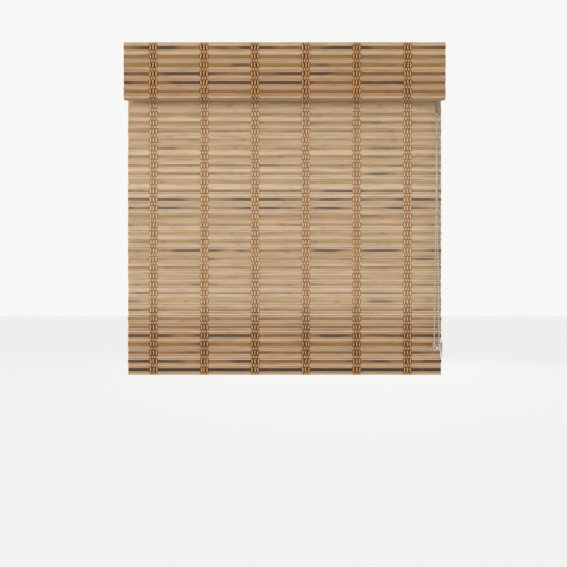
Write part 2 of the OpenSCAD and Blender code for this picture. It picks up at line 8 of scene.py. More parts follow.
# %% Load the frame
import bpy
import json
import math
import random
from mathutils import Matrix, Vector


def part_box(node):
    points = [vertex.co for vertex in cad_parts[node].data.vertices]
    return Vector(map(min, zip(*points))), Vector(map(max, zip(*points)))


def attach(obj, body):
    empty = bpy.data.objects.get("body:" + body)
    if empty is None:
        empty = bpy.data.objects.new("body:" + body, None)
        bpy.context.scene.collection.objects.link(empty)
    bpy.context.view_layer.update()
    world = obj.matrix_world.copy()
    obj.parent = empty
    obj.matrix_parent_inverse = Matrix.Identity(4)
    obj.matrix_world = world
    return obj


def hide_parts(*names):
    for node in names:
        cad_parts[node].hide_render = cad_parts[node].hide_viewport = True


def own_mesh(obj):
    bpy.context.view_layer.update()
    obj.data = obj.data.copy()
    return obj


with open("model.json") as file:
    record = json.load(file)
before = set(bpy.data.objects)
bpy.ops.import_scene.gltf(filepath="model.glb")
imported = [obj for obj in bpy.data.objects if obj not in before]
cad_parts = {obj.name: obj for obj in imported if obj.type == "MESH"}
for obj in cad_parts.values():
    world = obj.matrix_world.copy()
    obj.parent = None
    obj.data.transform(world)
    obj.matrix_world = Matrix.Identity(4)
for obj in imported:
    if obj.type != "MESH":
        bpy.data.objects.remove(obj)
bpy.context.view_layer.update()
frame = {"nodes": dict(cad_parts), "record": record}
MM = 0.001
scene = bpy.context.scene

# %% [markdown]
# ## Sizes of the weave
# A row of the mat is a thick reed with a pale slat above it and one below, and a thin filler between
# two rows. Sizes are in millimetres, and turned to metres where a mesh is made. What a solid knows,
# such as the edges of the mat, is measured on the solid, so that both stay the same.

# %% Sizes of the weave


def box_mm(node):
    """The lowest and highest corner of a solid, in millimetres."""
    return [[c / MM for c in corner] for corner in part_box(node)]


SHADE_W = 900
ROW_PITCH = 24.5
REED_H, REED_T = 9.0, 3.4
SLAT_H, SLAT_T = 6.8, 1.6
FILLER_H, FILLER_T = 1.0, 1.2
SLAT_SHIFT = 8.15
REED_OUT, YARN_OUT = 1.2, 1.0
EDGE_SLAT, TOP_STRIP, HEAD_DROP = 15, 14.8, 1.7
SLAT_DEPTH = REED_OUT + SLAT_T / 2

panel_lo, panel_hi = box_mm("shade_panel")
PANEL_BOTTOM, PANEL_TOP = panel_lo[2], panel_hi[2]
PANEL_FRONT = panel_lo[1] + YARN_OUT
PANEL_ROWS, HEM_ROWS = 37, 2
FIRST_REED = PANEL_BOTTOM + EDGE_SLAT
HEM_SPLIT = FIRST_REED + (HEM_ROWS - 0.5) * ROW_PITCH
RAIL_BOTTOM = box_mm("headrail")[0][2]
print(f"panel from {PANEL_BOTTOM:.1f} to {PANEL_TOP:.1f} mm, hem up to {HEM_SPLIT:.1f} mm")

valance_lo, valance_hi = box_mm("valance_mat")
VALANCE_BOTTOM, VALANCE_TOP = valance_lo[2], valance_hi[2]
VALANCE_FRONT = valance_lo[1] + YARN_OUT
VALANCE_FIRST = VALANCE_TOP - TOP_STRIP
print(f"valance from {VALANCE_BOTTOM:.1f} to {VALANCE_TOP:.1f} mm")

# %% [markdown]
# ## Camera and light
# The shade is seen straight on, from a little below its middle, so the camera is level and the framing
# comes from its height. Two large lamps stand in front, no higher than the shade: small or high ones
# would throw a hard shadow of the valance on the panel. A third stands behind and lights the back.

# %% Camera and light
CAMERA_AT = (-3.2, -1950, -676)
AIM = (0, 0, -0.5)
LENS, SENSOR = 43.5, 36
scene.view_settings.view_transform = "Standard"
camera_data = bpy.data.cameras.new("front_camera")
camera_data.lens = LENS
camera_data.sensor_width = SENSOR
camera = bpy.data.objects.new("front_camera", camera_data)
camera.location = [c * MM for c in CAMERA_AT]
camera.rotation_euler = (math.radians(90), 0, 0)
scene.collection.objects.link(camera)
scene.camera = camera


def area_light(name, place, size, power, colour=(1, 1, 1)):
    """A soft square lamp at place that faces the middle of the shade."""
    data = bpy.data.lights.new(name, "AREA")
    data.size = size
    data.energy = power
    data.color = colour
    lamp = bpy.data.objects.new(name, data)
    lamp.location = place
    x, y, z = [a - b for a, b in zip(place, AIM)]
    lamp.rotation_euler = (math.atan2(math.hypot(x, y), z), 0, math.atan2(x, -y))
    scene.collection.objects.link(lamp)


area_light("front_key", (-1.0, -2.8, -0.25), size=1.0, power=46, colour=(1, 0.98, 0.95))
area_light("front_fill", (1.6, -2.5, -0.9), size=1.8, power=28)
area_light("back_fill", (0.4, 2.6, 0.3), size=2.0, power=36)
print("camera at", CAMERA_AT, "mm")

# %% [markdown]
# ## Node helpers
# Materials and repeated pieces are node trees. Nodes could be added one call at a time, but a few
# helpers keep the trees short enough to read. The same ones work for materials and for Geometry
# Nodes, because the two share these kinds of node.

# %% Node helpers


def feed(tree, socket, source):
    """Links a socket to its source, or sets a plain value."""
    if isinstance(source, bpy.types.NodeSocket):
        tree.links.new(source, socket)
    else:
        socket.default_value = source


def add(tree, kind, links=(), **settings):
    """Adds a node, sets its options and feeds its (socket, source) pairs."""
    made = tree.nodes.new(kind)
    for option, value in settings.items():
        setattr(made, option, value)
    for socket, source in links:
        feed(tree, made.inputs[socket], source)
    return made


def maths(tree, operation, first, second=0.0):
    """One Math node."""
    return add(tree, "ShaderNodeMath", [(0, first), (1, second)], operation=operation).outputs[0]


def ranged(tree, value, start, end, low=0.0, high=1.0, ease="SMOOTHSTEP"):
    """A value that goes from start to end, mapped to low and high."""
    links = [("Value", value), ("From Min", start), ("From Max", end), ("To Min", low), ("To Max", high)]
    return add(tree, "ShaderNodeMapRange", links, interpolation_type=ease).outputs[0]


def vector(tree, **axes):
    """A vector from its X, Y and Z."""
    return add(tree, "ShaderNodeCombineXYZ", list(axes.items())).outputs[0]


def axes_of(tree, source):
    """The X, Y and Z of a vector."""
    return add(tree, "ShaderNodeSeparateXYZ", [(0, source)]).outputs


def noise(tree, place, scale, detail):
    """Noise from 0 to 1 at a place."""
    links = [("Vector", place), ("Scale", scale), ("Detail", detail)]
    return add(tree, "ShaderNodeTexNoise", links).outputs["Fac"]


def tell(*helpers):
    """Prints the names of new helpers."""
    print("helpers:", ", ".join(helper.__name__ for helper in helpers))


tell(feed, add, maths, ranged, vector, axes_of, noise)

# %% [markdown]
# ## Sky
# The sky lights the object evenly, and could be one white colour. Then a pale background would also
# mean too much light, so the kind of ray decides: rays that show the background see a pale grey, also
# in metal and through clear plastic.

# %% Sky
PALE = (0.93, 0.93, 0.92, 1)
SKY_LIGHT = 0.3


def seen_rays(tree):
    """1 for the rays that show the background."""
    ray = add(tree, "ShaderNodeLightPath").outputs
    bent = maths(tree, "MAXIMUM", ray["Is Glossy Ray"], ray["Is Transmission Ray"])
    return maths(tree, "MAXIMUM", ray["Is Camera Ray"], bent)


scene.world = bpy.data.worlds.new("studio_sky")
scene.world.use_nodes = True
sky = scene.world.node_tree
sky_light = sky.nodes["Background"]
sky_light.inputs["Color"].default_value = (1, 1, 1, 1)
sky_light.inputs["Strength"].default_value = SKY_LIGHT
sky_seen = add(sky, "ShaderNodeBackground", [("Color", PALE)])
sky_mix = add(sky, "ShaderNodeMixShader", [
    (0, seen_rays(sky)), (1, sky_light.outputs[0]), (2, sky_seen.outputs[0])])
sky.links.new(sky_mix.outputs[0], sky.nodes["World Output"].inputs["Surface"])
print("sky tree has", len(sky.nodes), "nodes")

# %% [markdown]
# ## Floor
# The floor is one large square below the shade. It could be plain white paint, but paint is only as
# bright as the lamps make it, so the floor glows for the rays that show the background. The share of
# paint that is left takes the shadow.

# %% Floor
FLOOR_Z, FLOOR_HALF, FLOOR_GLOW = -1.2, 9, 0.88
FLOOR_PAINT = (0.9, 0.9, 0.89, 1)
SQUARE = ((-1, -1), (1, -1), (1, 1), (-1, 1))

floor_corners = [(x * FLOOR_HALF, y * FLOOR_HALF, FLOOR_Z) for x, y in SQUARE]
floor_mesh = bpy.data.meshes.new("studio_floor")
floor_mesh.from_pydata(floor_corners, [], [(0, 1, 2, 3)])
floor = bpy.data.objects.new("studio_floor", floor_mesh)
scene.collection.objects.link(floor)
floor_paint = bpy.data.materials.new("pale_floor")
floor_paint.use_nodes = True
floor_tree = floor_paint.node_tree
floor_shader = floor_tree.nodes["Principled BSDF"]
floor_shader.inputs["Base Color"].default_value = FLOOR_PAINT
floor_shader.inputs["Roughness"].default_value = 0.9
floor_glow = add(floor_tree, "ShaderNodeEmission", [("Color", PALE)])
floor_share = maths(floor_tree, "MULTIPLY", seen_rays(floor_tree), FLOOR_GLOW)
floor_mix = add(floor_tree, "ShaderNodeMixShader", [
    (0, floor_share), (1, floor_shader.outputs[0]), (2, floor_glow.outputs[0])])
floor_tree.links.new(floor_mix.outputs[0], floor_tree.nodes["Material Output"].inputs["Surface"])
floor_mesh.materials.append(floor_paint)
print("floor at", FLOOR_Z, "m")

# %% [markdown]
# ## Colour helpers
# A finish starts from a colour that is given, and shaders count in linear light. Colours could be
# typed in linear light, but nobody reads those, so `tint` turns one into the other. The other helpers
# mix two colours and spread several along a ramp.

# %% Colour helpers


def tint(red, green, blue):
    """A display colour, 0 to 255, as linear light."""
    return tuple(((c / 255 + 0.055) / 1.055) ** 2.4 for c in (red, green, blue)) + (1,)


def grey(value):
    """A grey of linear light."""
    return (value, value, value, 1)


def mix(tree, share, first, second, blend="MIX"):
    """Mixes two colours by share."""
    links = [(0, share), (6, first), (7, second)]
    return add(tree, "ShaderNodeMix", links, data_type="RGBA", blend_type=blend).outputs[2]


def colour_ramp(tree, value, stops):
    """A colour ramp with (place, colour) stops, driven by value."""
    ramp = add(tree, "ShaderNodeValToRGB", [("Fac", value)])
    elements = ramp.color_ramp.elements
    elements[0].position, elements[0].color = stops[0]
    elements[1].position, elements[1].color = stops[-1]
    for place, colour in stops[1:-1]:
        elements.new(place).color = colour
    return ramp.outputs["Color"]


print("display grey 128 is", round(tint(128, 128, 128)[0], 3), "in linear light")

# %% [markdown]
# ## Material helpers
# Each finish could be built from nothing, but wood, yarn and fittings all start as one Principled shader,
# so one helper makes it. A finish can read the place on its piece or a number that the mesh carries. An
# effect that several finishes share is a node group, because a change to it then reaches all of them.

# %% Material helpers


def attribute(tree, name):
    """A number that the mesh carries."""
    return add(tree, "ShaderNodeAttribute", attribute_name=name).outputs["Fac"]


def here(tree):
    """The place on the piece, in metres."""
    return add(tree, "ShaderNodeTexCoord").outputs["Object"]


def start_material(name, roughness, metallic=0.0, gloss=0.5):
    """A material, its node tree and its Principled shader."""
    made = bpy.data.materials.new(name)
    made.use_nodes = True
    shader = made.node_tree.nodes["Principled BSDF"]
    shader.inputs["Roughness"].default_value = roughness
    shader.inputs["Metallic"].default_value = metallic
    shader.inputs["Specular IOR Level"].default_value = gloss
    return made, made.node_tree, shader


def add_bump(tree, shader, height, strength, distance):
    """A fine relief on the surface. distance is in millimetres."""
    links = [("Height", height), ("Strength", strength), ("Distance", distance * MM)]
    tree.links.new(add(tree, "ShaderNodeBump", links).outputs[0], shader.inputs["Normal"])


def start_group(name, inputs, outputs):
    """A shader group with float sockets, and its two ends."""
    group = bpy.data.node_groups.new(name, "ShaderNodeTree")
    for label in inputs:
        group.interface.new_socket(label, in_out="INPUT", socket_type="NodeSocketFloat")
    for label in outputs:
        group.interface.new_socket(label, in_out="OUTPUT", socket_type="NodeSocketFloat")
    return group, group.nodes.new("NodeGroupInput").outputs, group.nodes.new("NodeGroupOutput").inputs


tell(attribute, here, start_material, add_bump, start_group)

# %% [markdown]
# ## Grain of split bamboo
# Bamboo and reed show long fibres, soft patches of tone, dark stretches and now and then the ring of a
# node. A picture of wood would soon repeat, so the first three are noise that is stretched along X, and
# rings come at even steps. Every strip carries a number of its own, `tone`, which picks another part of
# the noise and shifts the rings, so that no two look alike. `across` is the place from the strip's
# middle. One group serves all woods.

# %% Grain group
TONE_STEP, RING_STEP, RINGS_A_METRE = 91.0, 37.0, 2.3
RING_CORE, RING_EDGE = 0.004, 0.03
grain, grain_in, grain_out = start_group(
    "bamboo_grain", ["Along", "Across", "Tone"], ["Fibre", "Patch", "Streak", "Ring"])


def long_noise(along_scale, across_scale, detail):
    """Noise that is long in X, with a part of its own for each strip."""
    place = vector(
        grain, X=maths(grain, "MULTIPLY", grain_in["Along"], along_scale),
        Y=maths(grain, "MULTIPLY", grain_in["Across"], across_scale),
        Z=maths(grain, "MULTIPLY", grain_in["Tone"], TONE_STEP))
    return noise(grain, place, 1.0, detail)


ring_shift = maths(grain, "MULTIPLY", grain_in["Tone"], RING_STEP)
ring_turn = maths(grain, "ADD", maths(grain, "MULTIPLY", grain_in["Along"], RINGS_A_METRE), ring_shift)
ring_near = maths(grain, "ABSOLUTE", maths(grain, "SUBTRACT", maths(grain, "FRACT", ring_turn), 0.5))
grain.links.new(ranged(grain, ring_near, RING_CORE, RING_EDGE, 1.0, 0.0), grain_out["Ring"])
grain.links.new(long_noise(along_scale=14, across_scale=2600, detail=3), grain_out["Fibre"])
grain.links.new(long_noise(along_scale=9, across_scale=60, detail=2), grain_out["Patch"])
grain.links.new(long_noise(along_scale=6, across_scale=14, detail=2), grain_out["Streak"])
print("grain group has", len(grain.nodes), "nodes")


def use_grain(tree):
    """Places the grain group in a material. Gives its outputs and the strip's tone."""
    group = add(tree, "ShaderNodeGroup", node_tree=grain)
    tone = attribute(tree, "tone")
    tree.links.new(axes_of(tree, here(tree))["X"], group.inputs["Along"])
    tree.links.new(attribute(tree, "across"), group.inputs["Across"])
    tree.links.new(tone, group.inputs["Tone"])
    return group.outputs, tone


# %% [markdown]
# ## How strips darken
# A slat is paler or darker as a whole, and a reed has long stretches that are nearly black. They could
# be painted one by one, but a number on each strip, `dark`, is enough. On a slat it is the depth of
# the colour. On a reed it also lets the noise turn dark earlier, so the stretches grow.

# %% How strips darken
SLAT_DEEPEST = 0.9
STREAK_START, STREAK_MORE, STREAK_SOFT, STREAK_LEAST = 0.66, 0.5, 0.12, 0.4
REED_ALL_OVER = 0.25


def slat_depth(tree, out, dark):
    """A slat is darker all over."""
    return maths(tree, "MULTIPLY", dark, SLAT_DEEPEST)


def reed_depth(tree, out, dark):
    """A reed is dark in stretches: more of them and deeper ones as dark goes up."""
    start = maths(tree, "SUBTRACT", STREAK_START, maths(tree, "MULTIPLY", dark, STREAK_MORE))
    stretch = ranged(tree, out["Streak"], start, maths(tree, "ADD", start, STREAK_SOFT))
    strength = maths(tree, "ADD", STREAK_LEAST, maths(tree, "MULTIPLY", dark, 1 - STREAK_LEAST))
    all_over = maths(tree, "MULTIPLY", dark, REED_ALL_OVER)
    return maths(tree, "ADD", maths(tree, "MULTIPLY", stretch, strength), all_over)


tell(slat_depth, reed_depth)

# %% [markdown]
# ## Wood of the strips
# The pale slats go from cream to a warm tan and the reeds from honey to brown. Along their edges the
# slats are lighter, partly as lighter cut fibre and partly as a painted highlight, and the reeds are
# darker there as painted shade. Four materials could be built one by one, but they differ only in
# colours, shares and the way they darken, so one function makes all. A second number on each strip,
# `honey`, says how far it goes towards a deeper brown, which on the lowest rows of the panel and at the
# turn of the valance is painted shade.

# %% Wood of the strips
PATCH_STOPS = [(0.28, (0.76, 0.72, 0.68, 1)), (0.5, grey(1)), (0.74, (1.16, 1.14, 1.12, 1))]
FIBRE_STOPS = [(0.3, (0.68, 0.64, 0.60, 1)), (0.55, grey(1)), (0.8, (1.12, 1.1, 1.07, 1))]
FIBRE_SHARE = 0.75
RING_BROWN = tint(104, 72, 46)
RIM_FROM = 0.55


def strip_wood(name, depth_of, painted_edge_share, ring_share, roughness, **colours):
    """Wood of one kind of strip. The shares say how much of its rings and of its painted edge shows: a
    highlight with lighter cut fibre on slats, shade on reeds.
    """
    material, tree, shader = start_material(name, roughness, gloss=0.25)
    out, tone = use_grain(tree)
    honey = attribute(tree, "honey")
    body = mix(tree, honey, mix(tree, tone, colours["pale"], colours["warm"]), colours["rich"])
    deep = mix(tree, honey, colours["deep"], colours["burnt"])
    body = mix(tree, depth_of(tree, out, attribute(tree, "dark")), body, deep)
    body = mix(tree, 1.0, body, colour_ramp(tree, out["Patch"], PATCH_STOPS), "MULTIPLY")
    body = mix(tree, FIBRE_SHARE, body, colour_ramp(tree, out["Fibre"], FIBRE_STOPS), "MULTIPLY")
    # The edge colour is painted light: a highlight with lighter cut fibre on the slats, shade on the reeds.
    off_middle = maths(tree, "ABSOLUTE", attribute(tree, "rim"))
    rim = ranged(tree, off_middle, RIM_FROM, 1.0, 0.0, painted_edge_share, "LINEAR")
    body = mix(tree, rim, body, colours["edge"])
    body = mix(tree, maths(tree, "MULTIPLY", out["Ring"], ring_share), body, RING_BROWN)
    tree.links.new(body, shader.inputs["Base Color"])
    add_bump(tree, shader, out["Fibre"], strength=0.35, distance=0.6)
    return material


VALANCE_SLAT = strip_wood(
    "valance_slat", slat_depth, painted_edge_share=0.45, ring_share=0.12, roughness=0.6,
    pale=tint(200, 174, 144), warm=tint(172, 140, 106), rich=tint(172, 130, 88),
    deep=tint(144, 106, 70), burnt=tint(140, 102, 66), edge=tint(236, 212, 178))
VALANCE_REED = strip_wood(
    "valance_reed", reed_depth, painted_edge_share=0.2, ring_share=0.35, roughness=0.5,
    pale=tint(162, 126, 74), warm=tint(138, 100, 54), rich=tint(142, 96, 50),
    deep=tint(58, 38, 36), burnt=tint(60, 40, 32), edge=tint(104, 72, 44))
PANEL_SLAT = strip_wood(
    "panel_slat", slat_depth, painted_edge_share=0.6, ring_share=0.12, roughness=0.65,
    pale=tint(205, 180, 152), warm=tint(187, 158, 126), rich=tint(168, 133, 96),
    deep=tint(152, 116, 80), burnt=tint(142, 106, 72), edge=tint(238, 216, 184))
PANEL_REED = strip_wood(
    "panel_reed", reed_depth, painted_edge_share=0.15, ring_share=0.3, roughness=0.55,
    pale=tint(184, 154, 112), warm=tint(162, 132, 92), rich=tint(150, 108, 62),
    deep=tint(78, 62, 58), burnt=tint(64, 42, 28), edge=tint(132, 102, 68))
print("four woods ready")

# %% [markdown]
# ## Yarn
# The warp is twisted yarn: tan for the stitches, brown for the ground under them, whose dark brown is
# partly painted shade between the stitches. Each strand could be a mesh, but there would be thousands,
# so a wave texture turned by the angle of the twist gives the slanting strands, and noise the fuzz. Where
# a yarn dives behind a strip it is in the shade, painted as a darker colour: the number `shown` says how
# far it is out. Near the bottom of the panel the yarns are painted deeper in colour as shade.

# %% Yarn
TWIST = math.radians(38)
LOW_FROM, LOW_TO = -0.82, -0.72
STRAND_SCALE, FUZZ_SCALE, FUZZ_SHARE = 260.0, 160.0, 0.5
DIP_SHADE_FROM = 0.3


def yarn_finish(name, light, deep, low, dive):
    """Twisted yarn. Its colour is multiplied by low near the bottom of the panel and by dive in a dip, as
    painted shade.
    """
    material, tree, shader = start_material(name, roughness=0.85, gloss=0.15)
    height = attribute(tree, "height")
    along = vector(tree, X=axes_of(tree, here(tree))["X"], Z=height)
    turned = add(tree, "ShaderNodeMapping", [("Vector", along), ("Rotation", (0, TWIST, 0))]).outputs[0]
    wave = [("Vector", turned), ("Scale", STRAND_SCALE), ("Distortion", 1.5), ("Detail", 2.0)]
    strands = add(tree, "ShaderNodeTexWave", wave, bands_direction="Z").outputs["Fac"]
    body = mix(tree, strands, deep, light)
    fuzz = maths(tree, "MULTIPLY", noise(tree, along, FUZZ_SCALE, 3.0), FUZZ_SHARE)
    body = mix(tree, fuzz, body, light)
    # Near the bottom of the panel the colour is multiplied by low, as painted shade.
    lower = ranged(tree, height, LOW_FROM, LOW_TO, 1.0, 0.0, "LINEAR")
    body = mix(tree, lower, body, low, "MULTIPLY")
    shade = ranged(tree, attribute(tree, "shown"), DIP_SHADE_FROM, 1.0, dive, 1.0)
    body = mix(tree, 1.0, body, shade, "MULTIPLY")
    tree.links.new(body, shader.inputs["Base Color"])
    add_bump(tree, shader, strands, strength=0.5, distance=0.5)
    return material


# These tints darken the yarns near the bottom of the panel as painted shade.
STITCH_LOW_SHADE, GROUND_LOW_SHADE = (0.78, 0.62, 0.47, 1), (0.34, 0.24, 0.15, 1)
VALANCE_STITCH = yarn_finish(
    "valance_stitch_yarn", tint(228, 182, 128), tint(184, 134, 84), STITCH_LOW_SHADE, dive=0.5)
# The dark brown of the ground yarns, here and on the panel, is partly painted shade between the stitches.
VALANCE_GROUND = yarn_finish(
    "valance_ground_yarn", tint(122, 68, 26), tint(86, 44, 16), GROUND_LOW_SHADE, dive=0.6)
PANEL_STITCH = yarn_finish(
    "panel_stitch_yarn", tint(238, 210, 174), tint(208, 172, 130), STITCH_LOW_SHADE, dive=0.65)
PANEL_GROUND = yarn_finish(
    "panel_ground_yarn", tint(186, 140, 94), tint(156, 110, 66), GROUND_LOW_SHADE, dive=0.75)
print("four yarns ready")

# %% [markdown]
# ## Growing pieces with Geometry Nodes
# Slats, yarns, beads and ties repeat many times. Each could be placed by hand, but a small tree with
# named inputs makes all of a kind at once. Every tree ends the same way, with real meshes and one
# finish, so two helpers start and end them.

# %% Tree helpers


def start_tree(name, inputs):
    """A geometry tree with named inputs by kind, its input sockets and its end."""
    tree = bpy.data.node_groups.new(name, "GeometryNodeTree")
    tree.interface.new_socket("Guide", in_out="INPUT", socket_type="NodeSocketGeometry")
    for kind, labels in inputs.items():
        for label in labels:
            tree.interface.new_socket(label, in_out="INPUT", socket_type="NodeSocket" + kind)
    tree.interface.new_socket("Made", in_out="OUTPUT", socket_type="NodeSocketGeometry")
    return tree, tree.nodes.new("NodeGroupInput").outputs, tree.nodes.new("NodeGroupOutput")


def step(tree, kind, links, **settings):
    """Adds a geometry node and gives its first output."""
    return add(tree, "GeometryNode" + kind, links, **settings).outputs[0]


def end_tree(tree, end, geometry, finish, smooth=True):
    """Ends a tree: real meshes, then one finish."""
    shaded = step(tree, "SetShadeSmooth", [("Geometry", geometry), ("Shade Smooth", smooth)])
    real = step(tree, "RealizeInstances", [("Geometry", shaded)])
    done = step(tree, "SetMaterial", [("Geometry", real), ("Material", finish)])
    tree.links.new(done, end.inputs[0])
    print(tree.name, "tree has", len(tree.nodes), "nodes")


tell(start_tree, step, end_tree)

# %% [markdown]
# ## From a tree to a mesh
# A tree runs as a modifier on a guide. The modifier could stay, but the finished piece is to be a plain
# mesh, so `grow` sets the inputs, runs the tree and keeps only the result. `join` makes one piece of
# strips that belong together.

# %% Growing helpers


def put(name, mesh):
    """An object for a mesh, at the origin."""
    made = bpy.data.objects.new(name, mesh)
    scene.collection.objects.link(made)
    return made


def grow(name, tree, guide, values):
    """Runs the tree on the guide and returns the plain mesh object."""
    holder = put(name + "_guide", guide)
    growth = holder.modifiers.new("grow", "NODES")
    growth.node_group = tree
    for item in tree.interface.items_tree:
        if item.item_type == "SOCKET" and item.in_out == "INPUT" and item.name in values:
            growth[item.identifier] = values[item.name]
    seen = holder.evaluated_get(bpy.context.evaluated_depsgraph_get())
    made = put(name, bpy.data.meshes.new_from_object(seen))
    bpy.data.objects.remove(holder)
    return made


def join(name, parts):
    """One object from several, with their materials kept."""
    chosen = {"active_object": parts[0], "selected_editable_objects": parts, "selected_objects": parts}
    with bpy.context.temp_override(**chosen):
        bpy.ops.object.join()
    parts[0].name = parts[0].data.name = name
    return parts[0]


tell(put, grow, join)

# %% [markdown]
# ## Guides
# A guide says where pieces go: bare points for strips and beads, a line for cords. Its points can carry
# numbers, such as a tone, which the tree hands on to each piece. A list of objects would do the same,
# but hundreds of them are slow.

# %% Guides


def keep_numbers(mesh, label, values):
    """Stores a number on each point of a mesh."""
    mesh.attributes.new(label, "FLOAT", "POINT").data.foreach_set("value", values)


def guide_points(name, points, **numbers):
    """A guide of bare points in millimetres that carry numbers."""
    mesh = bpy.data.meshes.new(name)
    mesh.from_pydata([tuple(c * MM for c in p) for p in points], [], [])
    for label, values in numbers.items():
        keep_numbers(mesh, label, values)
    return mesh


def guide_line(name, points, closed=False):
    """A guide of one line through points in millimetres."""
    mesh = bpy.data.meshes.new(name)
    last = len(points) - 1
    edges = [(i, i + 1) for i in range(last)] + ([(last, 0)] if closed else [])
    mesh.from_pydata([tuple(c * MM for c in p) for p in points], edges, [])
    return mesh


tell(keep_numbers, guide_points, guide_line)

# %% [markdown]
# ## Strips of the weave
# A strip is a long bar with eased edges. It could be a plain box, but split bamboo never lies quite
# straight, so the tree sets one bar on every guide point, tilts and scales it, and then bends it a
# little along its length. The bend needs real points, so the bars are made real before it.

# %% Strips tree
BEND_SCALE, BEND_STEP = 6.0, 60.0
strips_tree, strips_in, strips_end = start_tree(
    "woven_strips", {"Object": ("Bar",), "Float": ("Bend",), "Material": ("Finish",)})


def carried(tree, name):
    """A number that the guide's points carry."""
    return step(tree, "InputNamedAttribute", [("Name", name)], data_type="FLOAT")


def place_now(tree):
    """The X, Y and Z of each point."""
    return axes_of(tree, step(tree, "InputPosition", []))


bar_shape = add(strips_tree, "GeometryNodeObjectInfo", [("Object", strips_in["Bar"])]).outputs["Geometry"]
bar_tilt = vector(strips_tree, X=carried(strips_tree, "tilt"))
bar_turn = add(strips_tree, "FunctionNodeEulerToRotation", [(0, bar_tilt)]).outputs[0]
bar_scale = vector(strips_tree, X=carried(strips_tree, "long"), Y=1.0, Z=carried(strips_tree, "tall"))
bars_set = step(strips_tree, "InstanceOnPoints", [
    ("Points", strips_in["Guide"]), ("Instance", bar_shape), ("Rotation", bar_turn), ("Scale", bar_scale)])
bars_real = step(strips_tree, "RealizeInstances", [("Geometry", bars_set)])
bend_along = maths(strips_tree, "MULTIPLY", place_now(strips_tree)["X"], BEND_SCALE)
bend_own = maths(strips_tree, "MULTIPLY", carried(strips_tree, "tone"), BEND_STEP)
bend_noise = noise(strips_tree, vector(strips_tree, X=bend_along, Y=bend_own), 1.0, 1.0)
bend_by = maths(strips_tree, "MULTIPLY", maths(strips_tree, "SUBTRACT", bend_noise, 0.5), strips_in["Bend"])
bars_bent = step(strips_tree, "SetPosition", [
    ("Geometry", bars_real), ("Offset", vector(strips_tree, Z=bend_by))])
end_tree(strips_tree, strips_end, bars_bent, strips_in["Finish"], smooth=False)

# %% [markdown]
# ## Shape of a bar
# One bar shape serves all strips of a kind. A box with a Bevel modifier would do, but a bar that is made
# point by point can carry numbers. Its outline has eight corners, and it is cut along its length so that
# it can bend. Two numbers tell the wood where it is: `across` in metres from the middle of the strip,
# and `rim` as a share.

# %% Shape of a bar
CUTS = 44


def bar_mesh(name, height, thick, ease):
    """A bar along X with eased edges."""
    h, t = height / 2, thick / 2
    outline = [(-t, -h + ease), (-t + ease, -h), (t - ease, -h), (t, -h + ease),
               (t, h - ease), (t - ease, h), (-t + ease, h), (-t, h - ease)]
    sides = len(outline)
    stops = [(i / CUTS - 0.5) * SHADE_W * MM for i in range(CUTS + 1)]
    corners = [(x, y * MM, z * MM) for x in stops for y, z in outline]
    faces = [tuple(reversed(range(sides))), tuple(range(CUTS * sides, (CUTS + 1) * sides))]
    for i in range(CUTS):
        for k in range(sides):
            a, b = i * sides + k, i * sides + (k + 1) % sides
            faces.append((a, b, b + sides, a + sides))
    mesh = bpy.data.meshes.new(name)
    mesh.from_pydata(corners, [], faces)
    keep_numbers(mesh, "across", [c[2] for c in corners])
    keep_numbers(mesh, "rim", [c[2] / (h * MM) for c in corners])
    return mesh


print("a bar is cut every", round(SHADE_W / CUTS, 1), "mm")

# %% [markdown]
# ## Guides of the strips
# Each strip of the real mat has its own colour, and ends a little sooner or later than the next. These
# could be set by hand, but a seeded generator gives the same strips on every run.

# %% Guides of the strips
LENGTH_PLAY = 0.0018
chance = random.Random(7)


def jitter(amount):
    """A random number up to amount, either way."""
    return chance.uniform(-amount, amount)


STRIP_NUMBERS = ("tone", "dark", "honey", "tall", "tilt", "long")


def strip(y, z, dark, tall=1.0, tilt=0.0, honey=0.0):
    """The guide point of one strip, with a tone and a length of its own."""
    return {"at": (0, y, z), "tone": chance.random(), "dark": dark, "honey": honey, "tall": tall,
            "tilt": math.radians(tilt), "long": 1 + jitter(LENGTH_PLAY)}


def strips(name, bar_shape, rows, bend, finish):
    """All strips of one kind as a mesh. bend is in millimetres."""
    bar = put(name + "_bar", bar_shape)
    numbers = {label: [row[label] for row in rows] for label in STRIP_NUMBERS}
    guide = guide_points(name + "_rows", [row["at"] for row in rows], **numbers)
    made = grow(name, strips_tree, guide, {"Bar": bar, "Bend": bend * MM, "Finish": finish})
    bpy.data.objects.remove(bar)
    return made


print("a strip ends up to", round(LENGTH_PLAY * SHADE_W / 2, 2), "mm off the edge")

# %% [markdown]
# ## Grades of the rows
# Some reeds have dark stretches, and light comes through between some rows: that is what makes this mat
# look like itself. Every row could have a number of its own, but a few grades are enough, because the
# noise in the wood varies each reed. Rows are counted from the lowest reed up. Where light comes
# through, the filler is narrow and leaves a slit.

# %% Grades of the rows
BLACK, LONG, SHORT, FLECKS, PLAIN = 0.9, 0.45, 0.3, 0.15, 0.02
NARROW, WIDE = 0.4, 0.5


def by_row(grades):
    """The grade of each row, from the rows listed for each grade."""
    return {row: grade for grade, rows in grades.items() for row in rows}


# Rows 8 and 31 get flecks as painted shade: row 31 for the shadow under the valance, row 8 for a thin shadow
# line.
DARK_AND_SHADED_REEDS = by_row({
    BLACK: (0,), LONG: (1, 4, 14, 19, 20), SHORT: (2, 13, 21, 23),
    FLECKS: (3, 5, 7, 8, 10, 18, 24, 26, 27, 29, 31)})
SLITS = by_row({NARROW: (1, 6, 9, 10, 14, 18), WIDE: (4, 11, 15, 16, 20, 21, 22, 23, 25, 28, 29)})
print(len(DARK_AND_SHADED_REEDS), "dark reeds and", len(SLITS), "slits")

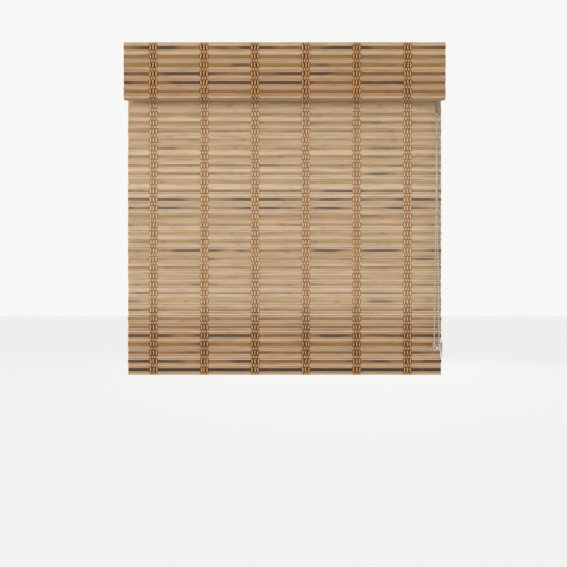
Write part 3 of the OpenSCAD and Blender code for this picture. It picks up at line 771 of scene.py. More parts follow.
# %% [markdown]
# ## Rows of the mat
# A row is listed as guide points: one reed, a slat on each side of it, and the filler above. An array
# of one perfect row would be shorter to write, but in the real mat heights and places vary a little,
# so each strip gets some play. A slit takes its height from the filler, so the slats stay in place.

# %% Rows of the mat
JOINT = ROW_PITCH - 2 * SLAT_SHIFT - SLAT_H
FILLER_LAP = 0.5
REED_SINK = 0.1
REED_PLAY, REED_GROWTH = 0.25, 0.06
SLAT_PLAY, SLAT_GROWTH = 0.1, 0.03
SLAT_DARK, SLAT_HONEY = 0.35, 0.8


def mat_rows(reeds, front):
    """Guides of slats, reeds and fillers. reeds holds (height, dark, slit, honey) for each row."""
    slats, bars, fillers = [], [], []
    middle, reed_y = front + SLAT_DEPTH, front + REED_T / 2 + REED_SINK
    for z, dark, slit, honey in reeds:
        bars.append(strip(reed_y, z + jitter(REED_PLAY), dark, 1 + jitter(REED_GROWTH), honey=honey))
        for side in (1, -1):
            at, slat_dark = z + side * SLAT_SHIFT + jitter(SLAT_PLAY), chance.random() * SLAT_DARK
            slats.append(strip(middle, at, slat_dark, 1 + jitter(SLAT_GROWTH), honey=honey * SLAT_HONEY))
        height = JOINT - slit if slit else JOINT + FILLER_LAP
        fillers.append(strip(middle, z + ROW_PITCH / 2 + slit / 2, chance.random(), height / FILLER_H))
    return slats, bars, fillers


print("the joint between two rows is", round(JOINT, 2), "mm")

# %% [markdown]
# ## A piece of mat
# Slats, reeds and fillers differ in section and in how much they bend, so each kind grows from a bar of
# its own. They could stay three objects, but a piece of mat is moved and declared as one, so they are
# joined.

# %% A piece of mat
BARS = {
    "slats": {"height": SLAT_H, "thick": SLAT_T, "ease": 0.4},
    "reeds": {"height": REED_H, "thick": REED_T, "ease": 0.8},
    "fillers": {"height": FILLER_H, "thick": FILLER_T, "ease": 0.2},
}
BENDS = {"slats": 0.8, "reeds": 0.7, "fillers": 0.2}


def mat(name, rows, slat_wood, reed_wood):
    """The strips of a piece of mat as one mesh."""
    woods = {"slats": slat_wood, "reeds": reed_wood, "fillers": slat_wood}
    parts = []
    for kind, guides in zip(BARS, rows):
        bar = bar_mesh(kind, **BARS[kind])
        parts.append(strips(f"{name}_{kind}", bar, guides, BENDS[kind], woods[kind]))
    made = join(name, parts)
    print(f"{name}: {len(rows[0])} slats, {len(rows[1])} reeds and {len(made.data.polygons)} faces")
    return made


tell(mat)

# %% [markdown]
# ## Panel
# The panel is the large mat that hangs from the headrail. It could be dressed row by row, but all that
# changes from row to row comes from the grades, and from the lowest rows, which fade to a richer brown
# as painted shade.
# The two lowest belong to the hem. A narrow slat closes the top.

# %% Panel
LOW_SHADE_ROWS, FADE_ROWS = 7, 3


def panel_row(i):
    """Height, darkness, slit and honey of a row of the panel."""
    # The lowest rows go towards the deeper brown as painted shade.
    honey = min(1, max(0, LOW_SHADE_ROWS + 1 - i) / FADE_ROWS)
    return FIRST_REED + i * ROW_PITCH, DARK_AND_SHADED_REEDS.get(i, PLAIN), SLITS.get(i, 0), honey


head_slat = strip(PANEL_FRONT + SLAT_DEPTH, PANEL_TOP - HEAD_DROP, dark=0.1, tall=0.48)
panel_rows = [panel_row(i) for i in range(HEM_ROWS, PANEL_ROWS)]
panel_slats, panel_reeds, panel_fillers = mat_rows(panel_rows, PANEL_FRONT)
panel_slats.append(head_slat)
panel_mat = mat("panel_mat", (panel_slats, panel_reeds, panel_fillers), PANEL_SLAT, PANEL_REED)

# %% [markdown]
# ## Hem
# The lower end of the mat is turned round the bottom bar and lies flat behind it. It could be part of
# the panel, but the hem keeps its shape when the shade is raised, so it is a piece of its own. Narrow
# strips follow the turn.

# %% Hem
HEM_R, HEM_OUT_R = 4.0, 4.8
HEM_Y, HEM_Z = PANEL_FRONT + REED_OUT + HEM_OUT_R, PANEL_BOTTOM + HEM_OUT_R
FLAP_H = 42
FLAP_Y, FLAP_TOP = HEM_Y + HEM_R, PANEL_BOTTOM + FLAP_H
TURN_STRIPS, TURN_TALL = 5, 0.4
FLAP_START, FLAP_STEP, FLAP_REST = 1.5, 7.1, 5
EDGE_DROP, HEM_DARK = 7.4, 0.3

hem_slats, hem_reeds, hem_fillers = mat_rows([panel_row(i) for i in range(HEM_ROWS)], PANEL_FRONT)
hem_slats[1] = strip(
    PANEL_FRONT + SLAT_DEPTH, FIRST_REED - EDGE_DROP, HEM_DARK, tall=0.8, honey=SLAT_HONEY)
for k in range(TURN_STRIPS):
    turn = (k + 0.5) * 180 / TURN_STRIPS
    a = math.radians(180 + turn)
    y, z = HEM_Y + HEM_R * math.cos(a), HEM_Z + HEM_R * math.sin(a)
    hem_slats.append(strip(y, z, HEM_DARK, TURN_TALL, turn))
flap_z = HEM_Z + FLAP_START
while flap_z < FLAP_TOP - FLAP_REST:
    hem_slats.append(strip(FLAP_Y, flap_z + SLAT_H / 2, HEM_DARK))
    flap_z += FLAP_STEP
hem_slats.append(strip(FLAP_Y, (flap_z + FLAP_TOP) / 2, HEM_DARK, (FLAP_TOP - flap_z) / SLAT_H))
hem_mat = mat("hem_mat", (hem_slats, hem_reeds, hem_fillers), PANEL_SLAT, PANEL_REED)

# %% [markdown]
# ## Valance mat
# On the valance the mat is glued to a bent fascia and turned under at the lower edge. A bent plane
# could carry a picture of it, but the strips show at the turn, so the last ones follow a quarter
# circle and end in a short lip. The strips at the turn go from pale to olive brown, which is painted
# shade where the mat turns under.

# %% Valance mat
VALANCE_DARK = (LONG, PLAIN, SHORT, LONG, LONG, FLECKS)
VALANCE_HONEY = 0.15
CORNER_SHADE_DEPTHS, CORNER_TALL = (0.0, 0.8, 0.7), 0.58
CORNER_LAP = 0.3
CORNER_OUT_R = 8.0
CORNER_R = CORNER_OUT_R - SLAT_T / 2
CORNER_Y, CORNER_Z = VALANCE_FRONT + REED_OUT + CORNER_OUT_R, VALANCE_BOTTOM + CORNER_OUT_R
LIP_END = valance_hi[1]

valance_rows = [
    (VALANCE_FIRST - i * ROW_PITCH, dark, 0, VALANCE_HONEY * i) for i, dark in enumerate(VALANCE_DARK)]
v_slats, v_reeds, v_fillers = mat_rows(valance_rows, VALANCE_FRONT)
v_middle = VALANCE_FRONT + SLAT_DEPTH
v_slats.append(strip(v_middle, VALANCE_TOP - HEAD_DROP, dark=0.1, tall=0.45))
last_slat = valance_rows[-1][0] - SLAT_SHIFT - SLAT_H / 2
last_filler = (last_slat - CORNER_Z + CORNER_LAP) / FILLER_H
v_fillers[0] = strip(v_middle, (last_slat + CORNER_Z) / 2, dark=0.9, tall=last_filler, honey=0.8)
# The darker strips at the turn are painted shade where the mat turns under.
for k, dark in enumerate(CORNER_SHADE_DEPTHS):
    turn = (k + 0.5) * 90 / len(CORNER_SHADE_DEPTHS)
    a = math.radians(180 + turn)
    y, z = CORNER_Y + CORNER_R * math.cos(a), CORNER_Z + CORNER_R * math.sin(a)
    v_slats.append(strip(y, z, dark, CORNER_TALL, turn, dark))
lip_h = LIP_END - CORNER_Y
lip_y, lip_z = CORNER_Y + lip_h / 2, VALANCE_BOTTOM + SLAT_T / 2
v_slats.append(strip(lip_y, lip_z, dark=0.15, tall=lip_h / SLAT_H, tilt=90))
valance_mat = mat("valance_weave", (v_slats, v_reeds, v_fillers), VALANCE_SLAT, VALANCE_REED)

# %% [markdown]
# ## Warp yarns
# In each band, tan yarns float over the reeds and dive behind at the fillers: these are the long
# stitches. Others do the opposite and show as small knots between the rows. Brown yarns lie under
# both and fill the band, and their dark brown is partly painted shade between the stitches. A yarn
# could be a curve drawn by hand, but all of them follow one rule: a line that a wave bends forward
# and back, once a row. `Dip from` and `Dip to` say where it dives.

# %% Line of a yarn
yarn_tree, yarn_in, yarn_end = start_tree("warp_yarns", {
    "Int": ("Points", "Sides"),
    "Float": ("Bottom", "Top", "Row zero", "Pitch", "Front", "Back", "Phase", "Dip from", "Dip to", "Thick",
              "Widen", "Sway", "Corner at", "Corner r", "Turn"),
    "Material": ("Finish",)})


def yarn_maths(operation, first, second=0.0):
    """One Math node of the yarn tree."""
    return maths(yarn_tree, operation, first, second)


def keep_number(geometry, name, value):
    """Stores a number on the points of the yarn."""
    links = [("Geometry", geometry), ("Name", name), ("Value", value)]
    return step(yarn_tree, "StoreNamedAttribute", links, data_type="FLOAT", domain="POINT")


line_ends = [("Start", vector(yarn_tree, Z=yarn_in["Bottom"])), ("End", vector(yarn_tree, Z=yarn_in["Top"]))]
line_cut = [("Curve", step(yarn_tree, "CurvePrimitiveLine", line_ends)), ("Count", yarn_in["Points"])]
lines_set = step(yarn_tree, "InstanceOnPoints", [
    ("Points", yarn_in["Guide"]), ("Instance", step(yarn_tree, "ResampleCurve", line_cut))])
lines = step(yarn_tree, "RealizeInstances", [("Geometry", lines_set)])
start_at = place_now(yarn_tree)
row_at = yarn_maths("DIVIDE", yarn_maths("SUBTRACT", start_at["Z"], yarn_in["Row zero"]), yarn_in["Pitch"])
row_turn = yarn_maths("MULTIPLY", yarn_maths("ADD", row_at, yarn_in["Phase"]), 2 * math.pi)
shown = ranged(yarn_tree, yarn_maths("COSINE", row_turn), yarn_in["Dip from"], yarn_in["Dip to"])
for label, value in (("yarn_x", start_at["X"]), ("height", start_at["Z"]), ("shown", shown)):
    lines = keep_number(lines, label, value)
print("a yarn keeps its place, its height and how far it shows")

# %% [markdown]
# ## Body of a yarn
# A flat ribbon would do from afar, but a yarn has round edges that catch the light. So the line is moved
# to its depth and swept with a round profile, then widened where it shows. Where the mat is turned
# under, the line follows a quarter circle that begins at `Corner at`, to the back or to the front as
# `Turn` says. Noise lets the yarn sway a little.

# %% Body of a yarn
SWAY_SCALE = 55.0
THIN_SHARE = 0.35
depth = ranged(yarn_tree, carried(yarn_tree, "shown"), 0.0, 1.0, yarn_in["Back"], yarn_in["Front"], "LINEAR")
line_at = place_now(yarn_tree)
drop = yarn_maths("MAXIMUM", yarn_maths("SUBTRACT", yarn_in["Corner at"], line_at["Z"]), 0.0)
corner_square = yarn_maths("POWER", yarn_in["Corner r"], 2.0)
square_left = yarn_maths("SUBTRACT", corner_square, yarn_maths("POWER", drop, 2.0))
corner_depth = yarn_maths("SQRT", yarn_maths("MAXIMUM", square_left, 0.0))
inwards = yarn_maths("SUBTRACT", yarn_in["Corner r"], corner_depth)
sway = add(yarn_tree, "ShaderNodeTexNoise", [("Scale", SWAY_SCALE), ("Detail", 1.0)]).outputs["Fac"]
sideways = yarn_maths("MULTIPLY", yarn_maths("SUBTRACT", sway, 0.5), yarn_in["Sway"])
moved = vector(
    yarn_tree, X=yarn_maths("ADD", line_at["X"], sideways),
    Y=yarn_maths("ADD", depth, yarn_maths("MULTIPLY", inwards, yarn_in["Turn"])), Z=line_at["Z"])
waved = step(yarn_tree, "SetPosition", [("Geometry", lines), ("Position", moved)])
profile = step(yarn_tree, "CurvePrimitiveCircle", [
    ("Resolution", yarn_in["Sides"]), ("Radius", yarn_in["Thick"])])
swept = step(yarn_tree, "CurveToMesh", [("Curve", waved), ("Profile Curve", profile), ("Fill Caps", True)])
off_middle = yarn_maths("SUBTRACT", place_now(yarn_tree)["X"], carried(yarn_tree, "yarn_x"))
flat_share = ranged(yarn_tree, carried(yarn_tree, "shown"), 0.0, 1.0, THIN_SHARE, 1.0, "LINEAR")
wider = yarn_maths("MULTIPLY", off_middle, yarn_maths("MULTIPLY", yarn_in["Widen"], flat_share))
flat_yarn = step(yarn_tree, "SetPosition", [("Geometry", swept), ("Offset", vector(yarn_tree, X=wider))])
end_tree(yarn_tree, yarn_end, flat_yarn, yarn_in["Finish"])

# %% [markdown]
# ## Bands of yarn
# Six bands cross the mat. Three stitches and four knots take turns across a band, and seven flat brown
# yarns lie under them, whose dark brown is partly painted shade between the stitches. One tree could
# make a whole band, but the three kinds differ in where they dive and how wide they lie, so each is
# grown on its own. Places are in millimetres from the band's middle.

# %% Bands of yarn
BAND_COUNT, BAND_SHIFT = 6, -12
PANEL_BANDS, VALANCE_BANDS = 146, 142.4
STITCH_AT = (-8.4, 0, 8.4)
KNOT_AT = (-11, -4.2, 4.2, 11)
GROUND_AT = (-10.5, -7, -3.5, 0, 3.5, 7, 10.5)
STITCH = {"Phase": 0.0, "Dip from": -0.7, "Dip to": 0.2, "Thick": 0.5, "Widen": 2.8, "Sway": 1.6, "Sides": 6}
KNOT = {"Phase": 0.5, "Dip from": -0.1, "Dip to": 0.75, "Thick": 0.5, "Widen": 2.0, "Sway": 1.6, "Sides": 6}
GROUND = {"Phase": 0.0, "Dip from": -0.7, "Dip to": 0.1, "Thick": 0.3, "Widen": 5.2, "Sway": 0.8, "Sides": 4}
STITCH_RISE, KNOT_SINK, GROUND_RISE, GROUND_SINK = 0.7, 0.35, 0.15, 0.95
LENGTHS = ("Bottom", "Top", "Row zero", "Front", "Back", "Thick", "Sway", "Corner at", "Corner r")


def yarns(name, places, run, kind, front, back, finish):
    """The yarns of one kind in all bands. front and back are where they show and where they dive to."""
    bands = [BAND_SHIFT + (i - (BAND_COUNT - 1) / 2) * run["Bands"] for i in range(BAND_COUNT)]
    guide = guide_points(name + "_places", [(x + k, 0, 0) for x in bands for k in places])
    values = {**run, **kind, "Front": front, "Back": back}
    sized = {label: v * MM if label in LENGTHS else v for label, v in values.items()}
    points = max(8, round((run["Top"] - run["Bottom"]) / run["Step"]))
    sized.update({"Points": points, "Pitch": ROW_PITCH * MM, "Finish": finish})
    made = grow(name, yarn_tree, guide, sized)
    print(f"{name}: {len(guide.vertices)} yarns, {len(made.data.polygons)} faces")
    return made


def warp(name, run, front, backs, stitch, ground):
    """Stitches, knots and ground of a piece of mat. backs says how deep stitches and knots dive."""
    return [
        yarns(name + "_stitches", STITCH_AT, run, STITCH, front - STITCH_RISE, front + backs[0], stitch),
        yarns(name + "_knots", KNOT_AT, run, KNOT, front + KNOT_SINK, front + backs[1], stitch),
        yarns(name + "_ground", GROUND_AT, run, GROUND, front - GROUND_RISE, front + GROUND_SINK, ground)]


tell(yarns, warp)

# %% [markdown]
# ## Yarns of panel, hem and valance
# A real yarn runs through the whole mat. Here panel, hem and valance have yarns of their own, because
# they move in different ways. On the hem and the valance the yarns follow the turn. The back of the
# panel shows more ground, and the dips of the knots.

# %% Yarns of panel, hem and valance
PANEL_DIVES, HEM_DIVES, VALANCE_DIVES = (3.5, 4.3), (3.3, 3.3), (2.6, 2.6)
BACK_SHOWN, BACK_DIVE = 3.75, 3.05
FLAP_STITCH_OUT, FLAP_GROUND_OUT = 1.3, 1.0
HEM_YARN_R, VALANCE_YARN_R = 5.0, 8.2

panel_run = {"Bands": PANEL_BANDS, "Bottom": HEM_SPLIT, "Top": RAIL_BOTTOM - 2, "Step": 2.5,
             "Row zero": FIRST_REED}
panel_warp = warp("panel", panel_run, PANEL_FRONT, PANEL_DIVES, PANEL_STITCH, PANEL_GROUND)
panel_warp.append(yarns(
    "panel_back_ground", GROUND_AT, panel_run, GROUND, PANEL_FRONT + BACK_SHOWN, PANEL_FRONT + BACK_DIVE,
    PANEL_GROUND))

hem_run = {**panel_run, "Bottom": PANEL_BOTTOM, "Top": HEM_SPLIT, "Step": 0.8,
           "Corner at": HEM_Z, "Corner r": HEM_YARN_R, "Turn": 1.0}
hem_warp = warp("hem", hem_run, PANEL_FRONT, HEM_DIVES, PANEL_STITCH, PANEL_GROUND)
flap_run = {**hem_run, "Top": FLAP_TOP - 0.3, "Row zero": FIRST_REED + ROW_PITCH / 2, "Turn": -1.0}
flap_stitch, flap_ground = FLAP_Y + FLAP_STITCH_OUT, FLAP_Y + FLAP_GROUND_OUT
hem_warp.append(yarns("flap_stitches", STITCH_AT, flap_run, STITCH, flap_stitch, FLAP_Y, PANEL_STITCH))
hem_warp.append(yarns("flap_ground", GROUND_AT, flap_run, GROUND, flap_ground, flap_ground, PANEL_GROUND))

valance_run = {"Bands": VALANCE_BANDS, "Bottom": VALANCE_BOTTOM + 0.1, "Top": VALANCE_TOP - 0.5, "Step": 1.3,
               "Row zero": VALANCE_FIRST, "Corner at": CORNER_Z, "Corner r": VALANCE_YARN_R, "Turn": 1.0}
valance_warp = warp("valance", valance_run, VALANCE_FRONT, VALANCE_DIVES, VALANCE_STITCH, VALANCE_GROUND)

# %% [markdown]
# ## Round threads
# Cords and the wire of the chain are round and follow a line. A curve with a bevel would do the same,
# but a tree that sweeps a circle along any guide line gives a plain mesh in one go.

# %% Round threads
thread_tree, thread_in, thread_end = start_tree(
    "round_thread", {"Float": ("Thick",), "Int": ("Sides",), "Material": ("Finish",)})
thread_line = step(thread_tree, "MeshToCurve", [("Mesh", thread_in["Guide"])])
thread_round = step(thread_tree, "CurvePrimitiveCircle", [
    ("Resolution", thread_in["Sides"]), ("Radius", thread_in["Thick"])])
thread_swept = step(thread_tree, "CurveToMesh", [
    ("Curve", thread_line), ("Profile Curve", thread_round), ("Fill Caps", True)])
end_tree(thread_tree, thread_end, thread_swept, thread_in["Finish"])


def thread(name, points, radius, sides, finish, closed=False):
    """A round thread along points in millimetres."""
    line = guide_line(name + "_line", points, closed)
    return grow(name, thread_tree, line, {"Thick": radius * MM, "Sides": sides, "Finish": finish})


# %% [markdown]
# ## Braid
# Lift cord is braided. The strands are too fine to model, so two waves, turned against each other, give
# the diamonds of a braid. The thread of the ties is so thin that the same finish in another colour
# serves it too.

# %% Braid
BRAID_TURN = math.radians(40)
BRAID_SCALE = 420.0


def braid_finish(name, light, deep):
    """Braided cord: a fine diamond pattern."""
    material, tree, shader = start_material(name, roughness=0.8, gloss=0.2)
    waves = []
    for turn in (BRAID_TURN, -BRAID_TURN):
        turned = add(tree, "ShaderNodeMapping", [("Vector", here(tree)), ("Rotation", (turn, turn, 0))])
        strands = [("Vector", turned.outputs[0]), ("Scale", BRAID_SCALE)]
        wave = add(tree, "ShaderNodeTexWave", strands, bands_direction="Z")
        waves.append(wave.outputs["Fac"])
    diamonds = maths(tree, "MULTIPLY", waves[0], waves[1])
    tree.links.new(mix(tree, diamonds, deep, light), shader.inputs["Base Color"])
    add_bump(tree, shader, diamonds, strength=0.4, distance=0.4)
    return material


CORD_BRAID = braid_finish("lift_cord_braid", tint(226, 218, 202), tint(180, 170, 152))
TIE_THREAD = braid_finish("tie_thread", tint(206, 178, 138), tint(168, 136, 94))
print("braids:", CORD_BRAID.name, "and", TIE_THREAD.name)

# %% [markdown]
# ## Lift cords
# A lift cord runs from its spool through a bushing, down through the rings and into the hem, where it
# ends in an eyelet on the bar. It is held all the way, so it has no slack to hang. It could be one
# thread, but the upper stretch shortens when the shade is raised and the end in the hem rides on the
# bar, so a cord is made as two pieces. Points of a route are (y, z), in millimetres.

# %% Lift cords
CORD_R, CORD_SIDES = 0.7, 8
CORD_SPLIT = FLAP_TOP + 30
CORD_STEPS = 12
POCKET_Y = HEM_Y + 0.4
SIDES = ("left", "centre", "right")
cord_x, lift_cords, cord_tails = [], [], []
for side in SIDES:
    lo, hi = box_mm("lift_cord_" + side)
    x, down, cord_top, cord_end = (lo[0] + hi[0]) / 2, hi[1] - CORD_R, hi[2] - CORD_R, lo[2]
    over = [(0, 0), (down - 5, 0), (down - 3, -0.4), (down - 1.4, -1.4), (down - 0.4, -3), (down, -5)]
    run = [(down, -5 + (CORD_SPLIT - cord_top + 5) * k / CORD_STEPS) for k in range(1, CORD_STEPS + 1)]
    tail = [(down, CORD_SPLIT), (down, FLAP_TOP + 14), (down - 0.5, FLAP_TOP + 10),
            (POCKET_Y + 0.5, FLAP_TOP + 4), (POCKET_Y, FLAP_TOP), (POCKET_Y, cord_end)]
    upper = [(x, y, cord_top + z) for y, z in over + run]
    lift_cords.append(thread("cord_" + side, upper, CORD_R, CORD_SIDES, CORD_BRAID))
    lower = [(x, y, z) for y, z in tail]
    cord_tails.append(thread("cord_tail_" + side, lower, CORD_R, CORD_SIDES, CORD_BRAID))
    cord_x.append(x)
print("cords leave the headrail at", round(cord_top, 2), "mm and end at", round(cord_end, 2), "mm")

# %% [markdown]
# ## Ties of the guide rings
# Each ring is sewn to the back of the mat with a few turns of thread, which ride with the ring. One
# wound thread would be closer to sewing, but three closed loops side by side read as a tie, and a tree
# sets them all at once.

# %% Ties of the guide rings
TIE_R, TIE_THICK, TIE_STEP = 1.6, 0.36, 0.75
RING_WIRE, TIE_SINK = 1.0, 0.3
tie_tree, tie_in, tie_end = start_tree("ring_ties", {"Float": ("Radius", "Thick"), "Material": ("Finish",)})
tie_loop = step(tie_tree, "CurvePrimitiveCircle", [("Resolution", 12), ("Radius", tie_in["Radius"])])
tie_round = step(tie_tree, "CurvePrimitiveCircle", [("Resolution", 5), ("Radius", tie_in["Thick"])])
tie_swept = step(tie_tree, "CurveToMesh", [("Curve", tie_loop), ("Profile Curve", tie_round)])
tie_stood = step(tie_tree, "Transform", [("Geometry", tie_swept), ("Rotation", (0, math.radians(90), 0))])
ties_set = step(tie_tree, "InstanceOnPoints", [("Points", tie_in["Guide"]), ("Instance", tie_stood)])
end_tree(tie_tree, tie_end, ties_set, tie_in["Finish"])

ring_ties = {}
for row in ("upper", "middle", "lower"):
    lo, hi = box_mm("ring_row_" + row)
    tie_y, tie_z = lo[1] + RING_WIRE - TIE_SINK, (lo[2] + hi[2]) / 2
    spots = [(x + k * TIE_STEP, tie_y, tie_z) for x in cord_x for k in (-1, 0, 1)]
    ring_ties[row] = grow("ring_ties_" + row, tie_tree, guide_points("tie_spots_" + row, spots), {
        "Radius": TIE_R * MM, "Thick": TIE_THICK * MM, "Finish": TIE_THREAD})
print("ties:", {row: len(piece.data.polygons) for row, piece in ring_ties.items()})

# %% [markdown]
# ## Surface of the fittings
# Paint, plastic and metal share one fine surface: faint mottling in colour, uneven gloss and a bump
# too small to see as a shape. Plain colours would look like toys, so each fitting's finish places this
# group with its own grain size and strength. Stretched along X, the same noise reads as brushed metal.

# %% Surface of the fittings
SCUFF_SCALE = 38.0
surface, surface_in, surface_out = start_group("fine_surface", ["Scale", "Stretch"], ["Mottle", "Scuff"])
surface_axes = axes_of(surface, here(surface))
stretched = vector(
    surface, X=maths(surface, "DIVIDE", surface_axes["X"], surface_in["Stretch"]),
    Y=surface_axes["Y"], Z=surface_axes["Z"])
surface.links.new(noise(surface, stretched, surface_in["Scale"], 3.0), surface_out["Mottle"])
surface.links.new(noise(surface, here(surface), SCUFF_SCALE, 4.0), surface_out["Scuff"])


def fitting_finish(name, colour, roughness, metallic=0.0, scale=900.0, stretch=1.0, contrast=0.06, bump=0.1):
    """A fitting's finish: its colour with faint mottling, uneven gloss and a fine bump."""
    material, tree, shader = start_material(name, roughness, metallic)
    group = add(tree, "ShaderNodeGroup", [("Scale", scale), ("Stretch", stretch)], node_tree=surface).outputs
    mottle = colour_ramp(tree, group["Mottle"], [(0.3, grey(1 - contrast * 2)), (0.7, grey(1 + contrast))])
    scuff = colour_ramp(tree, group["Scuff"], [(0.3, grey(1 - contrast)), (0.6, grey(1))])
    body = mix(tree, 1.0, mix(tree, 1.0, colour, mottle, "MULTIPLY"), scuff, "MULTIPLY")
    tree.links.new(body, shader.inputs["Base Color"])
    dull = ranged(tree, group["Scuff"], 0.3, 0.7, roughness * 0.8, min(1, roughness * 1.25), "LINEAR")
    tree.links.new(dull, shader.inputs["Roughness"])
    add_bump(tree, shader, group["Mottle"], bump, distance=0.2)
    return material


print("surface group has", len(surface.nodes), "nodes")

# %% [markdown]
# ## Clear plastic
# The tensioner is of clear plastic. Alpha would only fade it and its gloss, so the shader lets light
# through instead. The walls are thin, so the index that bends the light is low.

# %% Clear plastic
CLEAR = fitting_finish("clear_housing", tint(253, 253, 252), 0.06, contrast=0.01, bump=0.03)
clear_shader = CLEAR.node_tree.nodes["Principled BSDF"]
clear_shader.inputs["Transmission Weight"].default_value = 0.95
clear_shader.inputs["IOR"].default_value = 1.08
print("clear plastic is", CLEAR.name)

# %% [markdown]
# ## Finishes of the fittings
# The solids of headrail, brackets, spools and clutch have the right shapes. They could be made again
# here, but nothing would be gained, so they stay and only get a finish. The record names a slot for
# each solid, and the table says which finish a slot has.

# %% Finishes of the fittings
FINISHES = {
    "headrail_paint": fitting_finish("headrail_paint_white", tint(232, 230, 224), 0.35, scale=1400),
    "bracket_steel": fitting_finish(
        "bracket_zinc", tint(186, 188, 190), 0.35, metallic=1.0, scale=500, contrast=0.12),
    "fascia_aluminium": fitting_finish(
        "brushed_aluminium", tint(182, 183, 185), 0.45, metallic=1.0, stretch=30, contrast=0.1),
    "shaft_aluminium": fitting_finish(
        "bright_aluminium", tint(214, 214, 214), 0.25, metallic=1.0, stretch=30, contrast=0.08),
    "ring_plastic": fitting_finish("ring_plastic_ivory", tint(228, 222, 206), 0.4),
    "white_plastic": fitting_finish("moulded_white", tint(230, 228, 222), 0.45),
    "ivory_plastic": fitting_finish("moulded_ivory", tint(222, 212, 188), 0.45),
    "connector_plastic": fitting_finish("connector_grey", tint(116, 112, 98), 0.4, contrast=0.1),
    "screw_steel": fitting_finish(
        "screw_zinc", tint(190, 190, 188), 0.3, metallic=1.0, scale=700, contrast=0.1),
    "clear_plastic": CLEAR,
}

dressed = 0
for part in frame["record"]["subparts"]:
    finish = FINISHES.get(part["material_slot"])
    if finish:
        for place in frame["nodes"][part["node"]].material_slots:
            place.material = finish
        dressed += 1
print("solids with a finish:", dressed)

# %% [markdown]
# ## Loop of the chain
# The chain goes round the sprocket at the top and round the pulley at the bottom, a quarter turn from
# each other, with two straight runs between. A drawn curve could give the path, but the places of the
# beads are worked out in order round the loop, so that the wire can follow the same points.

# %% Loop of the chain
BEAD_PITCH, POCKETS, PULLEY_R = 6, 16, 7
OVER_BEADS, UNDER_BEADS = POCKETS // 2, 4
sprocket_r = POCKETS * BEAD_PITCH / (2 * math.pi)
pulley_lo, pulley_hi = box_mm("tensioner_pulley")
sprocket_lo, sprocket_hi = box_mm("drive_sprocket")
chain_x = (pulley_lo[0] + pulley_hi[0]) / 2
pulley_z = (pulley_lo[2] + pulley_hi[2]) / 2
shaft_z = (sprocket_lo[2] + sprocket_hi[2]) / 2


def chain_run(side):
    """Bead places of one straight run, from the sprocket down to the pulley."""
    start, end = (chain_x, side * sprocket_r, shaft_z), (chain_x + side * PULLEY_R, 0, pulley_z)
    count = int(math.dist(start, end) / BEAD_PITCH)
    return [tuple(a + (b - a) * i / count for a, b in zip(start, end)) for i in range(count + 1)]


over_turns = [math.pi * i / OVER_BEADS for i in range(1, OVER_BEADS)]
under_turns = [math.pi * i / UNDER_BEADS for i in range(1, UNDER_BEADS)]
over_top = [(chain_x, sprocket_r * math.cos(a), shaft_z + sprocket_r * math.sin(a)) for a in over_turns]
below = [(chain_x - PULLEY_R * math.cos(a), 0, pulley_z - PULLEY_R * math.sin(a)) for a in under_turns]
loop = chain_run(-1) + below + chain_run(1)[::-1] + over_top
print("chain:", len(loop), "beads")

# %% [markdown]
# ## Beads and wire
# The beads are small steel balls on a thin wire. Each could be an object of its own, but there are
# hundreds, so a tree sets one ball with few faces on every place, and wire and beads become one piece.

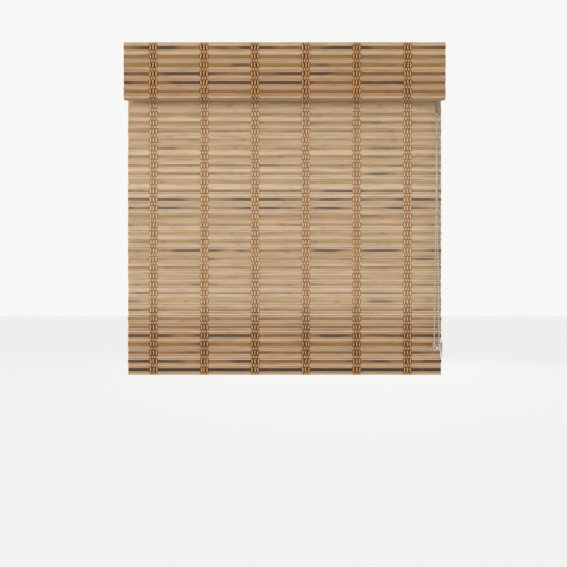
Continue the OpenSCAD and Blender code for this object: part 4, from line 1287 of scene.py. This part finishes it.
# %% Beads and wire
BEAD_R, WIRE_R, WIRE_SIDES = 2.25, 0.5, 5
CHAIN_STEEL = fitting_finish("chain_steel", tint(196, 188, 178), 0.3, metallic=1.0, scale=600)
bead_tree, bead_in, bead_end = start_tree("chain_beads", {"Float": ("Radius",), "Material": ("Finish",)})
bead = step(bead_tree, "MeshUVSphere", [("Segments", 8), ("Rings", 6), ("Radius", bead_in["Radius"])])
beads_set = step(bead_tree, "InstanceOnPoints", [("Points", bead_in["Guide"]), ("Instance", bead)])
end_tree(bead_tree, bead_end, beads_set, bead_in["Finish"])
bead_places = guide_points("bead_places", loop)
beads = grow("chain_beads", bead_tree, bead_places, {"Radius": BEAD_R * MM, "Finish": CHAIN_STEEL})
wire = thread("chain_wire", loop, WIRE_R, WIRE_SIDES, CHAIN_STEEL, closed=True)
chain = join("bead_chain_loop", [beads, wire])
print("chain:", len(chain.data.polygons), "faces")

# %% [markdown]
# ## Who moves with what
# The panel, its yarns and the cords shorten towards the head as the bar rises. The real mat folds
# there, which the joints can't show. Here these pieces get meshes of their own, and the share of their
# height that is left when raised is printed. The hem keeps its shape and rides on the bar with the ends
# of the cords, and ties ride with their rings.

# %% Who moves with what
LIFT = 620


def rides(pieces, body):
    """Pieces that move with a body."""
    for piece in pieces:
        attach(piece, body)


def shortens(pieces, top, bottom):
    """Gives each piece a mesh of its own and returns the share of the height that is left after the lift."""
    keep = 1 - LIFT / (top - bottom)
    for piece in pieces:
        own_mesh(piece)
    return round(keep, 4)


rides([panel_mat, valance_mat] + panel_warp + valance_warp, "frame")
rides([hem_mat] + hem_warp, "bottom_bar")
rides(lift_cords, "frame")
rides(cord_tails, "bottom_bar")
rides([chain], "frame")
for row, piece in ring_ties.items():
    rides([piece], "ring_row_" + row)
print("share of the panel left when raised:", shortens([panel_mat] + panel_warp, PANEL_TOP, HEM_SPLIT))
print("share of the cords left when raised:", shortens(lift_cords, cord_top, CORD_SPLIT))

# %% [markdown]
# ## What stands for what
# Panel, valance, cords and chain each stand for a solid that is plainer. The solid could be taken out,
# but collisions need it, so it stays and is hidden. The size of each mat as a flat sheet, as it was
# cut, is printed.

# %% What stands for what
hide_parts("shade_panel")
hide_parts("valance_mat")
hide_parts("bead_chain")
for piece, side in zip(lift_cords, SIDES):
    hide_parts("lift_cord_" + side)

panel_flat = PANEL_TOP - HEM_SPLIT
hem_flat = HEM_SPLIT - HEM_Z + math.pi * HEM_OUT_R + FLAP_TOP - HEM_Z
valance_flat = VALANCE_TOP - CORNER_Z + math.pi / 2 * CORNER_OUT_R + LIP_END - CORNER_Y


def cut_sheet(piece, length):
    """Prints the size of a mat as a sheet of the shade's width."""
    print(f"{piece.name}: cut to {SHADE_W} by {length:.0f} mm")


cut_sheet(panel_mat, panel_flat)
cut_sheet(hem_mat, hem_flat)
cut_sheet(valance_mat, valance_flat)
